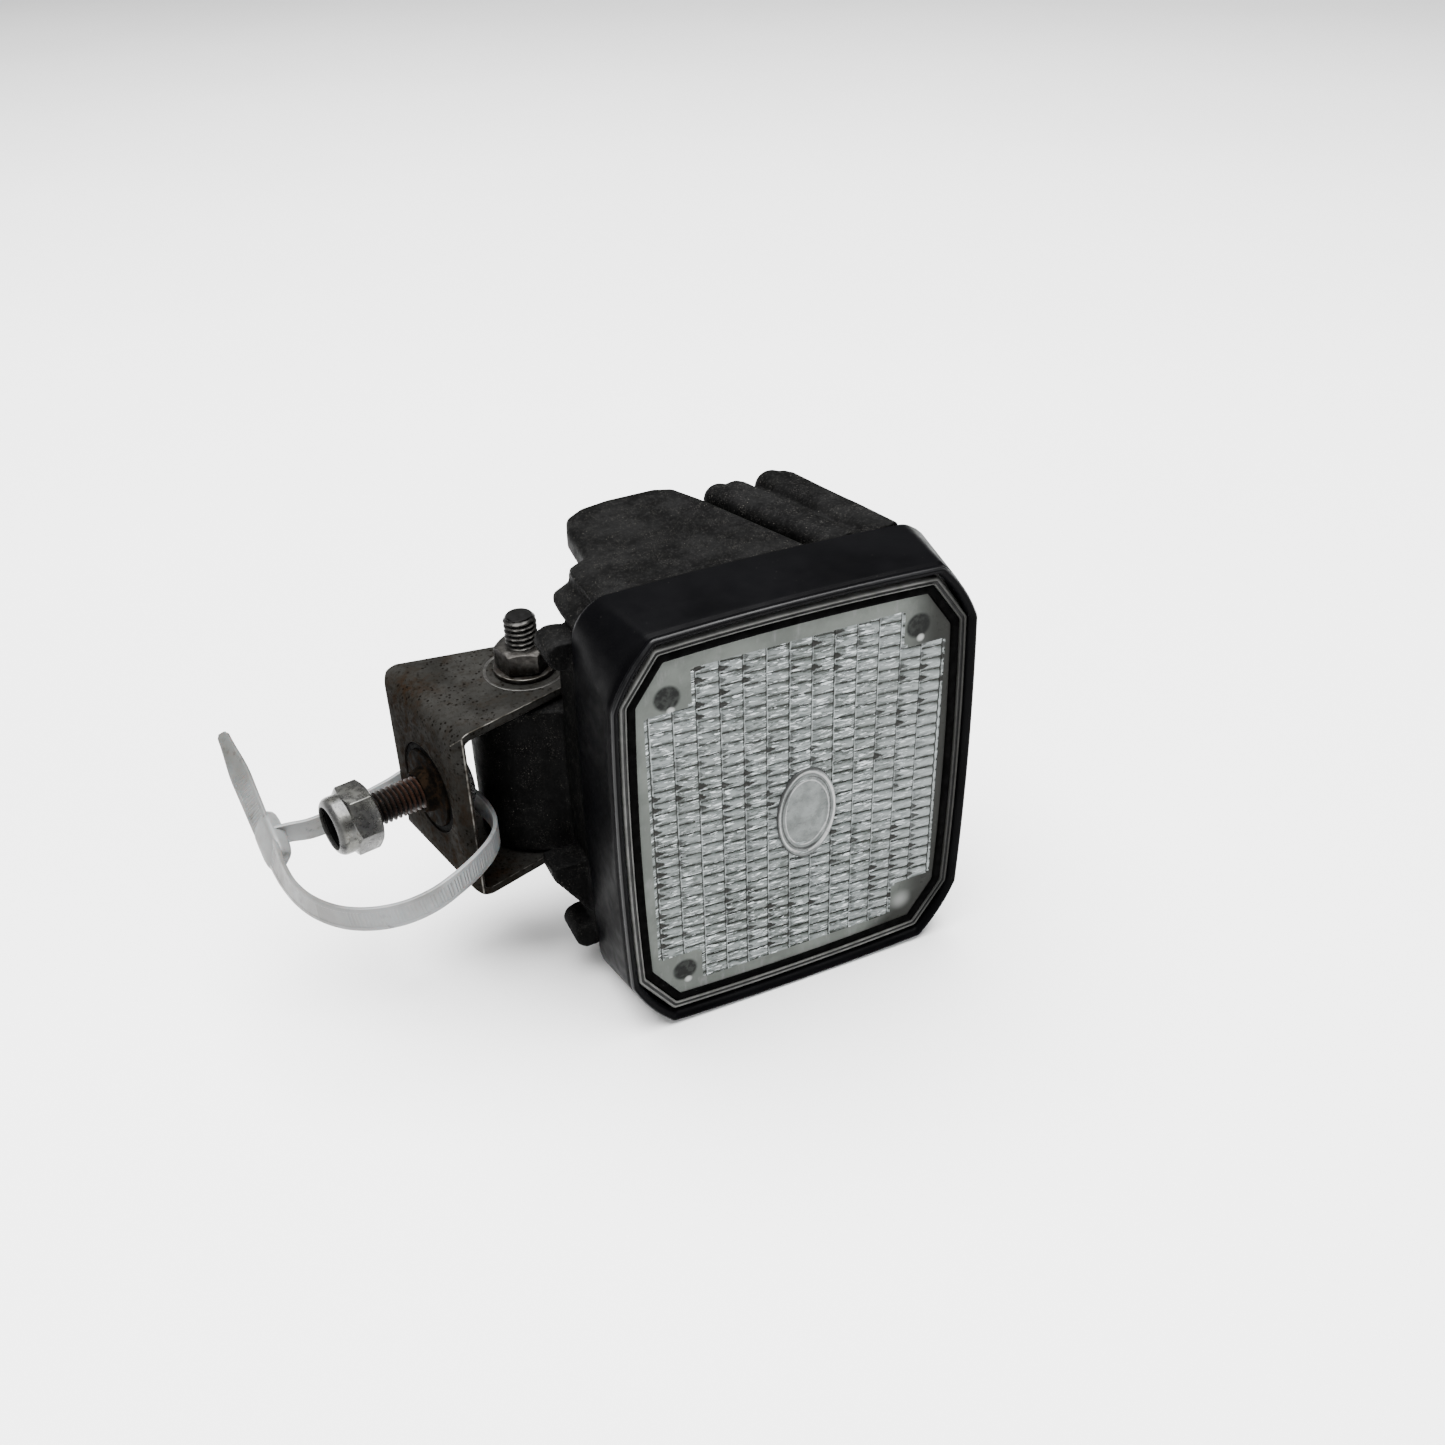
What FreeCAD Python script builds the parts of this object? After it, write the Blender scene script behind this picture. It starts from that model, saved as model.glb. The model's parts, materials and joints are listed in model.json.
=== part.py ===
import FreeCAD, Part
import math
import os

from FreeCAD import Rotation, Vector

# A rectangular halogen work light on a U-shaped bracket.
#
# Row frame: the origin is on the axis of the M10 mounting bolt, at the outer face of the hub it passes
# through. The bolt leaves towards -X, the pivot between bracket and lamp head runs along Z, and the lamp
# faces -Y, turned by HEAD_YAW about its pivot. The X values below count from the outer face of the
# bracket's web; export() moves every node by the hub's height. All lengths are in millimetres.
#
# Head frame: the origin is the centre of the lens ring's front plane, +X is across the lens, +Z is up and
# +Y is the depth into the lamp. Every piece of the head is built there and then moved by in_head().

# ---------------------------------------------------------------- driving dimensions

# bracket
SHEET = 2.5                 # thickness of the steel strip
BEND_R = 6.0                # outer radius of its two bends
WEB_FRONT = -21.5           # the web's front and rear edges, from the bolt's axis
WEB_REAR = 23.5
FLANGE_Z = 28.2             # outer faces of the two flanges, above and below the bolt's axis
PIVOT_X = 33.8              # the pivot's axis
PIVOT_Y = -2.5
FLANGE_END_R = 15.5         # rounded end of each flange, about the pivot
WEB_HOLE_R = 14.0           # hole in the web for the rubber grommet

# mounting bolt, M10, and its nut
BOLT_R = 5.0
BOLT_CORE_R = 4.5           # the engaged thread is drawn at its pitch radius
HUB_X = -3.4                # outer face of the grommet plate's hub
NUT_X = -18.0               # inner face of the nut
NUT_TALL = 12.6
NUT_AF = 17.8
BOLT_END_X = -28.2
BOLT_HEAD_TALL = 6.4

# pivot bolt, 3/8 inch
PIVOT_R = 4.7
PIVOT_CORE_R = 4.15
PIVOT_TOP_Z = 46.0
PIVOT_AF = 14.3
PIVOT_NUT_TALL = 7.0
WASHER_T = 1.6
KNUCKLE_Z = 24.6            # half height of the housing's knuckle, about the bracket's middle
KNUCKLE_R = 18.0

# lamp head
HEAD_YAW = -12.0            # degrees about Z, at rest
HEAD_RISE = 1.0             # the lens centre stands this far above the bolt's axis
PIVOT_IN_HEAD = (-57.3, 60.5)
BEZEL = (55.0, 66.0)        # half width and half height
BEZEL_CUT = (13.0, 19.0)    # the corner chamfer's run along X and Z
BEZEL_FRONT = -1.6
BEZEL_REAR = 26.0
FRAME_RING = (51.5, 62.1)   # visible ring round the lens
RING_CUT = (11.2, 15.3)
LENS_EDGE = (46.9, 57.5)    # the lens inside its gasket
LENS_CUT = (9.5, 13.0)
LENS_FRONT = 1.0
LENS_BACK = 6.0
BOWL_FRONT = 28.0           # where the housing's bowl starts to narrow
BOWL_REAR = 68.0
WALL = 2.8
FOCAL = 24.0                # focal length of the reflector
VERTEX_Y = 50.0
CAP_R = 30.0
POST_X = 37.5               # the four corner posts under the lens
POST_Z = 48.0
GLAND_AT = (-18.0, -51.0)
CABLE_R = 3.4
VENT_AT = (0.0, -36.2)
VENT_R = 2.0
REFLECTOR_HALF = (45.6, 56.2)
REFLECTOR_CUT = (13.0, 17.0)

# cable tie
TIE_WIDE = 7.8
TIE_THICK = 1.3

UP = Vector(0, 0, 1)
BACK = Vector(0, 1, 0)
RIGHT = Vector(1, 0, 0)

os.makedirs("parts", exist_ok=True)


# ---------------------------------------------------------------- helpers

def export(name, shape):
    """Move one node so that the hub's face is at the origin, and write it."""
    shape.translate(Vector(-HUB_X, 0, 0))
    if not shape.isValid() or shape.Volume <= 0:
        print("check", name, "valid", shape.isValid(), "volume", shape.Volume)
    shape.exportStep("parts/" + name + ".step")
    box = shape.BoundBox
    print(f"{name:20s} solids {len(shape.Solids)} vol {shape.Volume:9.1f}"
          f" box {box.XMin:.1f} {box.YMin:.1f} {box.ZMin:.1f} .. {box.XMax:.1f} {box.YMax:.1f} {box.ZMax:.1f}")


def fuse(shapes):
    """All the shapes as one body with no internal faces."""
    first, rest = shapes[0], shapes[1:]
    return first.multiFuse(rest).removeSplitter() if rest else first


def group(shapes):
    """Separate solids in one node, for identical fasteners."""
    return Part.makeCompound(shapes)


def in_head(shape):
    """Move a shape from the head frame into the row frame."""
    turn = Rotation(UP, HEAD_YAW)
    pivot = Vector(PIVOT_IN_HEAD[0], PIVOT_IN_HEAD[1], 0)
    place = Vector(PIVOT_X, PIVOT_Y, HEAD_RISE) - turn.multVec(pivot)
    moved = shape.copy()
    moved.Placement = FreeCAD.Placement(place, turn).multiply(moved.Placement)
    return moved


def rod(radius, start, end):
    """A cylinder between two points."""
    a, b = Vector(*start), Vector(*end)
    return Part.makeCylinder(radius, (b - a).Length, a, b - a)


def tube(outer, inner, start, end):
    return rod(outer, start, end).cut(rod(inner, start, end))


def block(x, y, z):
    """A box from three (low, high) pairs."""
    return Part.makeBox(x[1] - x[0], y[1] - y[0], z[1] - z[0], Vector(x[0], y[0], z[0]))


def hexagon(across_flats, start, end):
    """A hexagonal prism between two points."""
    a, b = Vector(*start), Vector(*end)
    radius = across_flats / math.sqrt(3)
    side = RIGHT if abs((b - a).normalize().dot(RIGHT)) < 0.5 else UP
    across = (Vector(*end) - a).cross(side).normalize()
    turns = [Rotation(Vector(*end) - a, 60 * i) for i in range(7)]
    points = [a + turn.multVec(across * radius) for turn in turns]
    face = Part.Face(Part.makePolygon(points))
    return face.extrude(Vector(*end) - a)


def hex_body(across_flats, start, end):
    """A hexagon with its corners turned down at both ends."""
    a, b = Vector(*start), Vector(*end)
    length = (b - a).Length
    radius = across_flats / math.sqrt(3)
    drop = 0.12 * across_flats / 2
    profile = [Vector(0, 0, 0), Vector(radius - 1.9 * drop, 0, 0), Vector(radius + 0.01, 0, drop),
               Vector(radius + 0.01, 0, length - drop), Vector(radius - 1.9 * drop, 0, length),
               Vector(0, 0, length), Vector(0, 0, 0)]
    turned = Part.Face(Part.makePolygon(profile)).revolve(Vector(0, 0, 0), UP, 360)
    turned.Placement = FreeCAD.Placement(a, Rotation(UP, b - a))
    return hexagon(across_flats, start, end).common(turned)


def frame_wire(half, cut, y, bow=1.0):
    """A chamfered rectangle in the plane y, with its four sides bowed outwards to the stated half sizes."""
    w, h = half
    side_z, side_x = h - cut[1], w - cut[0]
    flat_w, flat_h = w - bow, h - bow
    corners = [(flat_w, -side_z), (flat_w, side_z), (side_x, flat_h), (-side_x, flat_h),
               (-flat_w, side_z), (-flat_w, -side_z), (-side_x, -flat_h), (side_x, -flat_h)]
    middles = [(w, 0), None, (0, h), None, (-w, 0), None, (0, -h), None]
    points = [Vector(x, y, z) for x, z in corners]
    edges = []
    for i, middle in enumerate(middles):
        a, b = points[i], points[(i + 1) % 8]
        if middle is None:
            edges.append(Part.makeLine(a, b))
        else:
            edges.append(Part.Arc(a, Vector(middle[0], y, middle[1]), b).toShape())
    return Part.Wire(edges)


def frame_prism(half, cut, y0, y1, bow=1.0):
    return Part.Face(frame_wire(half, cut, y0, bow)).extrude(Vector(0, y1 - y0, 0))


def frame_ring(outer, inner, cut, y0, y1):
    """A ring of constant width between two chamfered rectangles."""
    shrink = outer[0] - inner[0]
    inner_cut = (cut[0] - 0.35 * shrink, cut[1] - 0.5 * shrink)
    return frame_prism(outer, cut, y0, y1).cut(frame_prism(inner, inner_cut, y0 - 1, y1 + 1))


def frame_loft(stations):
    """A solid through chamfered rectangles given as (half, cut, y)."""
    return Part.makeLoft([frame_wire(half, cut, y) for half, cut, y in stations], True, True)


def prism(points, z0, z1):
    """A vertical prism on a plan outline."""
    outline = [Vector(x, y, z0) for x, y in points]
    return Part.Face(Part.makePolygon(outline + outline[:1])).extrude(Vector(0, 0, z1 - z0))


def mirrored(shape):
    """The shape and its mirror image below the head's middle plane."""
    return [shape, shape.mirror(Vector(0, 0, 0), UP)]


# ---------------------------------------------------------------- bracket

def flange_outline():
    """Plan of the flange: straight tapering edges from the web to a round end about the pivot."""
    pivot = Vector(PIVOT_X, PIVOT_Y, 0)

    def touch(corner, side):
        """Where the edge from this corner touches the round end."""
        away = pivot - corner
        lean = math.degrees(math.asin(FLANGE_END_R / away.Length))
        along = Rotation(UP, side * lean).multVec(away).normalize()
        return corner + along * math.sqrt(away.Length ** 2 - FLANGE_END_R ** 2)

    front, rear = Vector(BEND_R, WEB_FRONT, 0), Vector(BEND_R, WEB_REAR, 0)
    a, b = touch(front, -1), touch(rear, 1)
    tip = pivot + RIGHT * FLANGE_END_R
    edges = [Part.makeLine(Vector(0, WEB_FRONT, 0), front), Part.makeLine(front, a),
             Part.Arc(a, tip, b).toShape(), Part.makeLine(b, rear),
             Part.makeLine(rear, Vector(0, WEB_REAR, 0)),
             Part.makeLine(Vector(0, WEB_REAR, 0), Vector(0, WEB_FRONT, 0))]
    return Part.Face(Part.Wire(edges))


def bracket():
    """U-shaped strip: a web with the grommet's hole and two flanges with the pivot's holes."""
    plan = flange_outline()
    plan.translate(Vector(0, 0, -FLANGE_Z))
    body = plan.extrude(Vector(0, 0, 2 * FLANGE_Z))
    reach = PIVOT_X + FLANGE_END_R + 1
    wide = WEB_REAR - WEB_FRONT + 2
    outer = Part.makeBox(reach, wide, 2 * FLANGE_Z, Vector(0, WEB_FRONT - 1, -FLANGE_Z))
    outer = outer.makeFillet(BEND_R, [e for e in outer.Edges if e.BoundBox.XMax < 0.01 and e.Length > wide - 0.1])
    inner = Part.makeBox(reach, wide, 2 * (FLANGE_Z - SHEET), Vector(SHEET, WEB_FRONT - 1, SHEET - FLANGE_Z))
    bends = [e for e in inner.Edges if e.BoundBox.XMax < SHEET + 0.01 and e.Length > wide - 0.1]
    inner = inner.makeFillet(BEND_R - SHEET, bends)
    body = body.common(outer).cut(inner)
    body = body.cut(rod(WEB_HOLE_R, (-1, 0, 0), (SHEET + 1, 0, 0)))
    return body.cut(rod(PIVOT_R + 0.1, (PIVOT_X, PIVOT_Y, -FLANGE_Z - 1), (PIVOT_X, PIVOT_Y, FLANGE_Z + 1)))


def web_grommet():
    """Rubber ring in the web's hole, with a lip on the inner side."""
    ring = tube(WEB_HOLE_R, 11.8, (0.4, 0, 0), (SHEET, 0, 0))
    lip = tube(16.5, 11.8, (SHEET, 0, 0), (SHEET + 0.9, 0, 0))
    return fuse([ring, lip])


def grommet_plate():
    """Steel disc held in the rubber ring, with the hub that the bolt passes through."""
    disc = rod(11.8, (-0.4, 0, 0), (SHEET + 0.9, 0, 0))
    hub = Part.makeCone(6.9, 6.2, -HUB_X - 0.4, Vector(-0.4, 0, 0), Vector(-1, 0, 0))
    return fuse([disc, hub]).cut(rod(BOLT_R + 0.06, (HUB_X - 1, 0, 0), (SHEET + 2, 0, 0)))


# ---------------------------------------------------------------- mounting bolt

def bolt_seat_x():
    """Inner face of the washer under the bolt's head."""
    return SHEET + 0.9 + 1.0


def mounting_bolt():
    """M10 bolt from inside the bracket: shank, bare thread, and the engaged thread at its pitch radius."""
    seat = bolt_seat_x()
    relief = 0.8
    head = hex_body(NUT_AF, (seat, 0, 0), (seat + BOLT_HEAD_TALL, 0, 0))
    shank = rod(BOLT_R, (seat, 0, 0), (HUB_X + relief + 0.1, 0, 0))
    neck = rod(BOLT_CORE_R, (HUB_X + relief + 0.1, 0, 0), (HUB_X + 0.1, 0, 0))
    bare = rod(BOLT_R, (HUB_X + 0.1, 0, 0), (NUT_X + 0.1, 0, 0))
    end = rod(BOLT_CORE_R, (NUT_X + 0.1, 0, 0), (BOLT_END_X + 0.9, 0, 0))
    tip = Part.makeCone(BOLT_CORE_R, BOLT_CORE_R - 0.9, 0.9, Vector(BOLT_END_X + 0.9, 0, 0), Vector(-1, 0, 0))
    return fuse([head, shank, neck, bare, end, tip])


def head_washer():
    """Plain washer between the bolt's head and the grommet plate."""
    return tube(9.6, BOLT_R + 0.05, (SHEET + 0.9 + 0.02, 0, 0), (bolt_seat_x(), 0, 0))


def mounting_nut():
    """Self-locking nut: hexagon and a rounded collar that holds the nylon ring."""
    hex_end = NUT_X - 8.2
    end = NUT_X - NUT_TALL
    body = hex_body(NUT_AF, (NUT_X, 0, 0), (hex_end, 0, 0))
    collar = rod(8.6, (hex_end + 1, 0, 0), (end, 0, 0))
    collar = collar.makeFillet(2.4, [e for e in collar.Edges if e.BoundBox.XMax < end + 0.01])
    nut = fuse([body, collar])
    bore = rod(BOLT_CORE_R + 0.05, (NUT_X + 1, 0, 0), (hex_end, 0, 0))
    pocket = rod(6.9, (hex_end - 0.4, 0, 0), (end + 0.9, 0, 0))
    mouth = rod(6.4, (hex_end + 0.5, 0, 0), (end - 1, 0, 0))
    return nut.cut(fuse([bore, pocket, mouth]))


def nut_insert():
    """Nylon ring in the nut's collar."""
    return tube(6.9, BOLT_CORE_R + 0.05, (NUT_X - 8.6, 0, 0), (NUT_X - 8.6 - 2.6, 0, 0))


# ---------------------------------------------------------------- pivot

def at_pivot(z):
    return (PIVOT_X, PIVOT_Y, z)


def pivot_bolt():
    """Bolt from below, through both flanges and the knuckle."""
    low = -FLANGE_Z - WASHER_T
    nut_base = FLANGE_Z + WASHER_T
    nut_top = nut_base + PIVOT_NUT_TALL
    head = hex_body(PIVOT_AF, at_pivot(low), at_pivot(low - 5.3))
    shank = rod(PIVOT_R, at_pivot(low), at_pivot(nut_base - 0.1))
    engaged = rod(PIVOT_CORE_R, at_pivot(nut_base - 0.1), at_pivot(nut_top + 0.1))
    stud = rod(PIVOT_R, at_pivot(nut_top + 0.1), at_pivot(PIVOT_TOP_Z - 0.8))
    tip = Part.makeCone(PIVOT_R, PIVOT_R - 0.8, 0.8, Vector(*at_pivot(PIVOT_TOP_Z - 0.8)), UP)
    return fuse([head, shank, engaged, stud, tip])


def pivot_nut():
    base = FLANGE_Z + WASHER_T
    nut = hex_body(PIVOT_AF, at_pivot(base), at_pivot(base + PIVOT_NUT_TALL))
    return nut.cut(rod(PIVOT_CORE_R + 0.05, at_pivot(base - 1), at_pivot(base + PIVOT_NUT_TALL + 1)))


def pivot_washers():
    """One plain washer on each flange."""
    washer = tube(9.0, PIVOT_R + 0.1, at_pivot(FLANGE_Z), at_pivot(FLANGE_Z + WASHER_T))
    return group(mirrored(washer))


def friction_washers():
    """Nylon discs between the flanges and the knuckle."""
    disc = tube(11.0, PIVOT_R + 0.1, at_pivot(KNUCKLE_Z + 0.06), at_pivot(FLANGE_Z - SHEET))
    return group(mirrored(disc))


def knuckle_span():
    """The knuckle's lower and upper face, in the head frame."""
    return -KNUCKLE_Z - HEAD_RISE, KNUCKLE_Z - HEAD_RISE


def pivot_sleeve():
    """Steel tube pressed into the knuckle, in the head frame."""
    x, y = PIVOT_IN_HEAD
    low, high = knuckle_span()
    return tube(6.5, PIVOT_R + 0.06, (x, y, low), (x, y, high))


# ---------------------------------------------------------------- cable tie

# The strap's middle line as (x, y, z, roll): roll leans its flat side over, in degrees. It leaves the head,
# passes behind the web, comes forward between bolt and knuckle, runs round the front of the web and back
# to the head, and ends in a free tail.
TIE_ROUTE = [
    (-36.5, 31.0, -18.4, 12), (-33.0, 29.8, -18.2, 12), (-27.0, 27.6, -18.2, 8), (-19.0, 26.8, -17.6, 4),
    (-10.0, 26.8, -16.6, 0), (-2.0, 26.4, -15.2, 0), (4.5, 26.4, -14.0, 0), (10.0, 23.6, -13.0, 0),
    (13.2, 17.5, -12.2, 0), (14.0, 9.0, -11.4, 0), (14.0, -1.0, -10.8, 0), (13.4, -10.0, -10.4, 0),
    (11.0, -17.8, -10.2, 0), (6.6, -23.0, -10.4, 0), (0.0, -26.8, -10.9, 0), (-8.0, -29.6, -11.6, 0),
    (-16.0, -30.4, -13.0, 0), (-24.0, -28.4, -14.6, 0), (-31.5, -23.6, -16.0, 0), (-37.4, -16.4, -17.2, 0),
    (-41.2, -7.0, -18.2, 2), (-42.6, 3.0, -19.0, 6), (-42.2, 13.0, -19.4, 14), (-40.9, 22.5, -19.4, 22),
    (-39.6, 31.0, -18.6, 30), (-38.6, 39.0, -16.0, 34), (-37.8, 46.0, -12.6, 36), (-37.2, 52.5, -8.4, 38),
    (-36.8, 58.5, -3.6, 40), (-36.6, 63.5, 1.0, 42),
]
TIE_HEAD_AT = 24            # index of the route's point inside the head


def tie_directions(i):
    """The strap's run, its flat width and its thickness at one point of the route."""
    here = [Vector(*p[:3]) for p in TIE_ROUTE]
    before, after = here[max(i - 1, 0)], here[min(i + 1, len(here) - 1)]
    run = (after - before).normalize()
    out = run.cross(UP).normalize()
    wide = out.cross(run).normalize()
    lean = Rotation(run, TIE_ROUTE[i][3])
    return run, lean.multVec(wide), lean.multVec(out)


def tie_section(i, wide_by, thick_by):
    """A rectangle across the strap."""
    centre = Vector(*TIE_ROUTE[i][:3])
    wide, out = tie_directions(i)[1:]
    corners = [(-1, -1), (1, -1), (1, 1), (-1, 1), (-1, -1)]
    return Part.makePolygon([centre + wide * (a * wide_by / 2) + out * (b * thick_by / 2) for a, b in corners])


def cable_tie_strap():
    """Toothed band, drawn with its smooth outline."""
    last = len(TIE_ROUTE) - 1
    taper = {last: 0.55, last - 1: 0.85}
    sections = [tie_section(i, TIE_WIDE * taper.get(i, 1.0), TIE_THICK) for i in range(len(TIE_ROUTE))]
    return Part.makeLoft(sections, True, True)


def cable_tie_head():
    """Locking head: a block with the slot for the free end, moulded on the band's other end."""
    centre = Vector(*TIE_ROUTE[TIE_HEAD_AT][:3])
    run, wide, out = tie_directions(TIE_HEAD_AT)
    turn = Rotation(run, wide, out, "XYZ")
    head = Part.makeBox(19.0, 10.4, 7.0, Vector(-9.5, -5.2, -3.5))
    head = head.makeFillet(1.0, head.Edges)
    head.Placement = FreeCAD.Placement(centre + out * 1.5, turn)
    slot = Part.makeBox(40.0, TIE_WIDE + 0.6, TIE_THICK + 0.6,
                        Vector(-20, -(TIE_WIDE + 0.6) / 2, -(TIE_THICK + 0.6) / 2))
    slot.Placement = FreeCAD.Placement(centre, turn)
    return head.cut(slot).cut(cable_tie_strap())


# ---------------------------------------------------------------- lamp head: front

def bezel():
    """Deep front frame with a rolled lip round the lens."""
    lip_in = (FRAME_RING[0] + 0.4, FRAME_RING[1] + 0.4)
    front_half = (BEZEL[0] - 1.1, BEZEL[1] - 1.1)
    nose = frame_loft([(front_half, BEZEL_CUT, BEZEL_FRONT), (BEZEL, BEZEL_CUT, BEZEL_FRONT + 1.4)])
    body = frame_prism(BEZEL, BEZEL_CUT, BEZEL_FRONT + 1.4, BEZEL_REAR)
    shell = fuse([nose, body])
    shell = shell.cut(frame_prism(lip_in, RING_CUT, BEZEL_FRONT - 1, BEZEL_REAR + 1))
    hollow = (BEZEL[0] - 2.3, BEZEL[1] - 2.3)
    return shell.cut(frame_prism(hollow, (BEZEL_CUT[0] - 0.8, BEZEL_CUT[1] - 1.2), 2.2, BEZEL_REAR + 1))


def lens_frame():
    """Grey frame that carries the lens, with a step inwards and a hidden foot under the bezel's lip."""
    shell = fuse([frame_prism(FRAME_RING, RING_CUT, 0, 8.0),
                  frame_prism((BEZEL[0] - 2.6, BEZEL[1] - 2.6), (BEZEL_CUT[0] - 0.8, BEZEL_CUT[1] - 1.2), 2.4, 8.0)])
    step = (FRAME_RING[0] - 1.1, FRAME_RING[1] - 1.1)
    mouth = (FRAME_RING[0] - 2.2, FRAME_RING[1] - 2.2)
    shell = shell.cut(frame_prism(step, (RING_CUT[0] - 0.4, RING_CUT[1] - 0.6), -1, 0.7))
    return shell.cut(frame_prism(mouth, (RING_CUT[0] - 0.8, RING_CUT[1] - 1.2), 0, 9))


def lens_gasket():
    """Black rubber ring in front of the lens flange."""
    outer = (FRAME_RING[0] - 2.2, FRAME_RING[1] - 2.2)
    cut = (RING_CUT[0] - 0.8, RING_CUT[1] - 1.2)
    return frame_prism(outer, cut, 1.3, 4.0).cut(frame_prism(LENS_EDGE, LENS_CUT, 0, 5))


def lens():
    """Glass plate with a flange under the gasket and the round-cornered field of flutes on its inner side."""
    plate = frame_prism(LENS_EDGE, LENS_CUT, LENS_FRONT, LENS_BACK)
    outer = (FRAME_RING[0] - 2.3, FRAME_RING[1] - 2.3)
    flange = frame_prism(outer, (RING_CUT[0] - 0.8, RING_CUT[1] - 1.2), 4.0, LENS_BACK)
    return fuse([plate, flange])


def housing_seal():
    """Rubber ring between the lens frame and the housing's rim."""
    outer = (BEZEL[0] - 2.8, BEZEL[1] - 2.8)
    return frame_ring(outer, (49.6, 60.4), BEZEL_CUT, 8.0, 9.6)


def corner_post_places():
    """Where the four posts stand, near the corners of the lens."""
    return [(x, z) for x in (-POST_X, POST_X) for z in (-POST_Z, POST_Z)]


# ---------------------------------------------------------------- lamp head: housing

def bowl(half_front, half_rear, y0, y1):
    cut_front = (13.0, 18.0)
    cut_rear = (11.0, 13.0)
    return frame_loft([(half_front, cut_front, y0), (half_front, cut_front, BOWL_FRONT), (half_rear, cut_rear, y1)])


def ridge(start, end, radius, floor_z):
    """A rounded cooling rib: a capsule from start to end that stands on a slab reaching down to floor_z."""
    a, b = Vector(*start), Vector(*end)
    crest = fuse([rod(radius, start, end), Part.makeSphere(radius, b)])
    side = (b - a).cross(UP).normalize() * radius
    foot = [a - side, b - side, b + side, a + side]
    slab = prism([(p.x, p.y) for p in foot], floor_z, min(a.z, b.z))
    tail = rod(radius, (b.x, b.y, floor_z), (b.x, b.y, b.z))
    return fuse([crest, slab, tail]).common(block((-80, 80), (BEZEL_REAR, 90), (0, 80)))


def side_ridge(root, tip, radius, y0, y1):
    """A rounded rib on the left corner, running back from the bezel, from its root to its tip in the XZ plane."""
    a, b = Vector(root[0], y0, root[1]), Vector(tip[0], y0, tip[1])
    side = (b - a).cross(BACK).normalize() * radius
    outline = [a - side, b - side, b + side, a + side]
    slab = Part.Face(Part.makePolygon(outline + outline[:1])).extrude(Vector(0, y1 - y0, 0))
    nose = rod(radius, (tip[0], y0, tip[1]), (tip[0], y1, tip[1]))
    return fuse([slab, nose])


def roof():
    """Broad flat rib on the upper side: a plate with a rounded nose that overhangs a narrower support."""
    plan = [(-44, 26), (-39.8, 56), (-38.6, 69), (-36.4, 75.5), (-31, 79.5), (-22, 81.5), (-7, 82),
            (-1, 79.5), (3.6, 69), (18, 26)]
    plate = prism(plan, 57.0, 64.2)
    behind = [e for e in plate.Edges if e.BoundBox.YMin > 27]
    plate = plate.makeFillet(2.6, [e for e in behind if e.BoundBox.ZMin > 64])
    support = prism([(-34, 26), (-27, 60), (-24, 66), (-2, 66), (4, 58), (17, 26)], 25, 58)
    return fuse([plate, support])


def knuckle():
    """Block between the flanges that turns on the pivot bolt."""
    x, y = PIVOT_IN_HEAD
    low, high = knuckle_span()
    plan = [(x, y + KNUCKLE_R), (-32, 74), (-32, 34), (-50, 38), (x - 9.6, y - 15.2)]
    return fuse([rod(KNUCKLE_R, (x, y, low), (x, y, high)), prism(plan, low, high)])


def left_band():
    """Side wall flush with the bezel, between bezel and knuckle."""
    outline = [(-40, -60), (-46, -59), (-54, -46), (-54, 46), (-46, 59), (-40, 60)]
    points = [Vector(x, 26, z) for x, z in outline]
    return Part.Face(Part.makePolygon(points + points[:1])).extrude(Vector(0, 13, 0))


def gusset():
    """Sloping cheek between the knuckle's lower side and the left side wall."""
    outline = [Vector(x, 27, z) for x, z in [(-65, -20), (-65, -24), (-55.5, -38.5), (-44, -44), (-40, -20)]]
    return Part.Face(Part.makePolygon(outline + outline[:1])).extrude(Vector(0, 10, 0))


def housing_ribs():
    """The ribs of the upper half, in the head frame; the lower half mirrors them."""
    floor_z = 35
    return [
        roof(),
        ridge((26.5, 26, 60.3), (10.5, 72.0, 60.3), 4.9, floor_z),
        ridge((39.0, 26, 60.0), (28.0, 72.5, 60.3), 5.3, floor_z),
        side_ridge((-34, 51), (-42.5, 59.0), 2.9, 26, 50),
        side_ridge((-34, 44), (-46.5, 52.5), 2.9, 26, 48),
        side_ridge((-40, 46), (-56.0, 48.5), 4.2, 27, 39),
        side_ridge((30, 30), (47.5, 38.0), 3.2, 26, 60),
        side_ridge((30, 8), (48.5, 12.0), 3.2, 26, 62),
    ]


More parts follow.
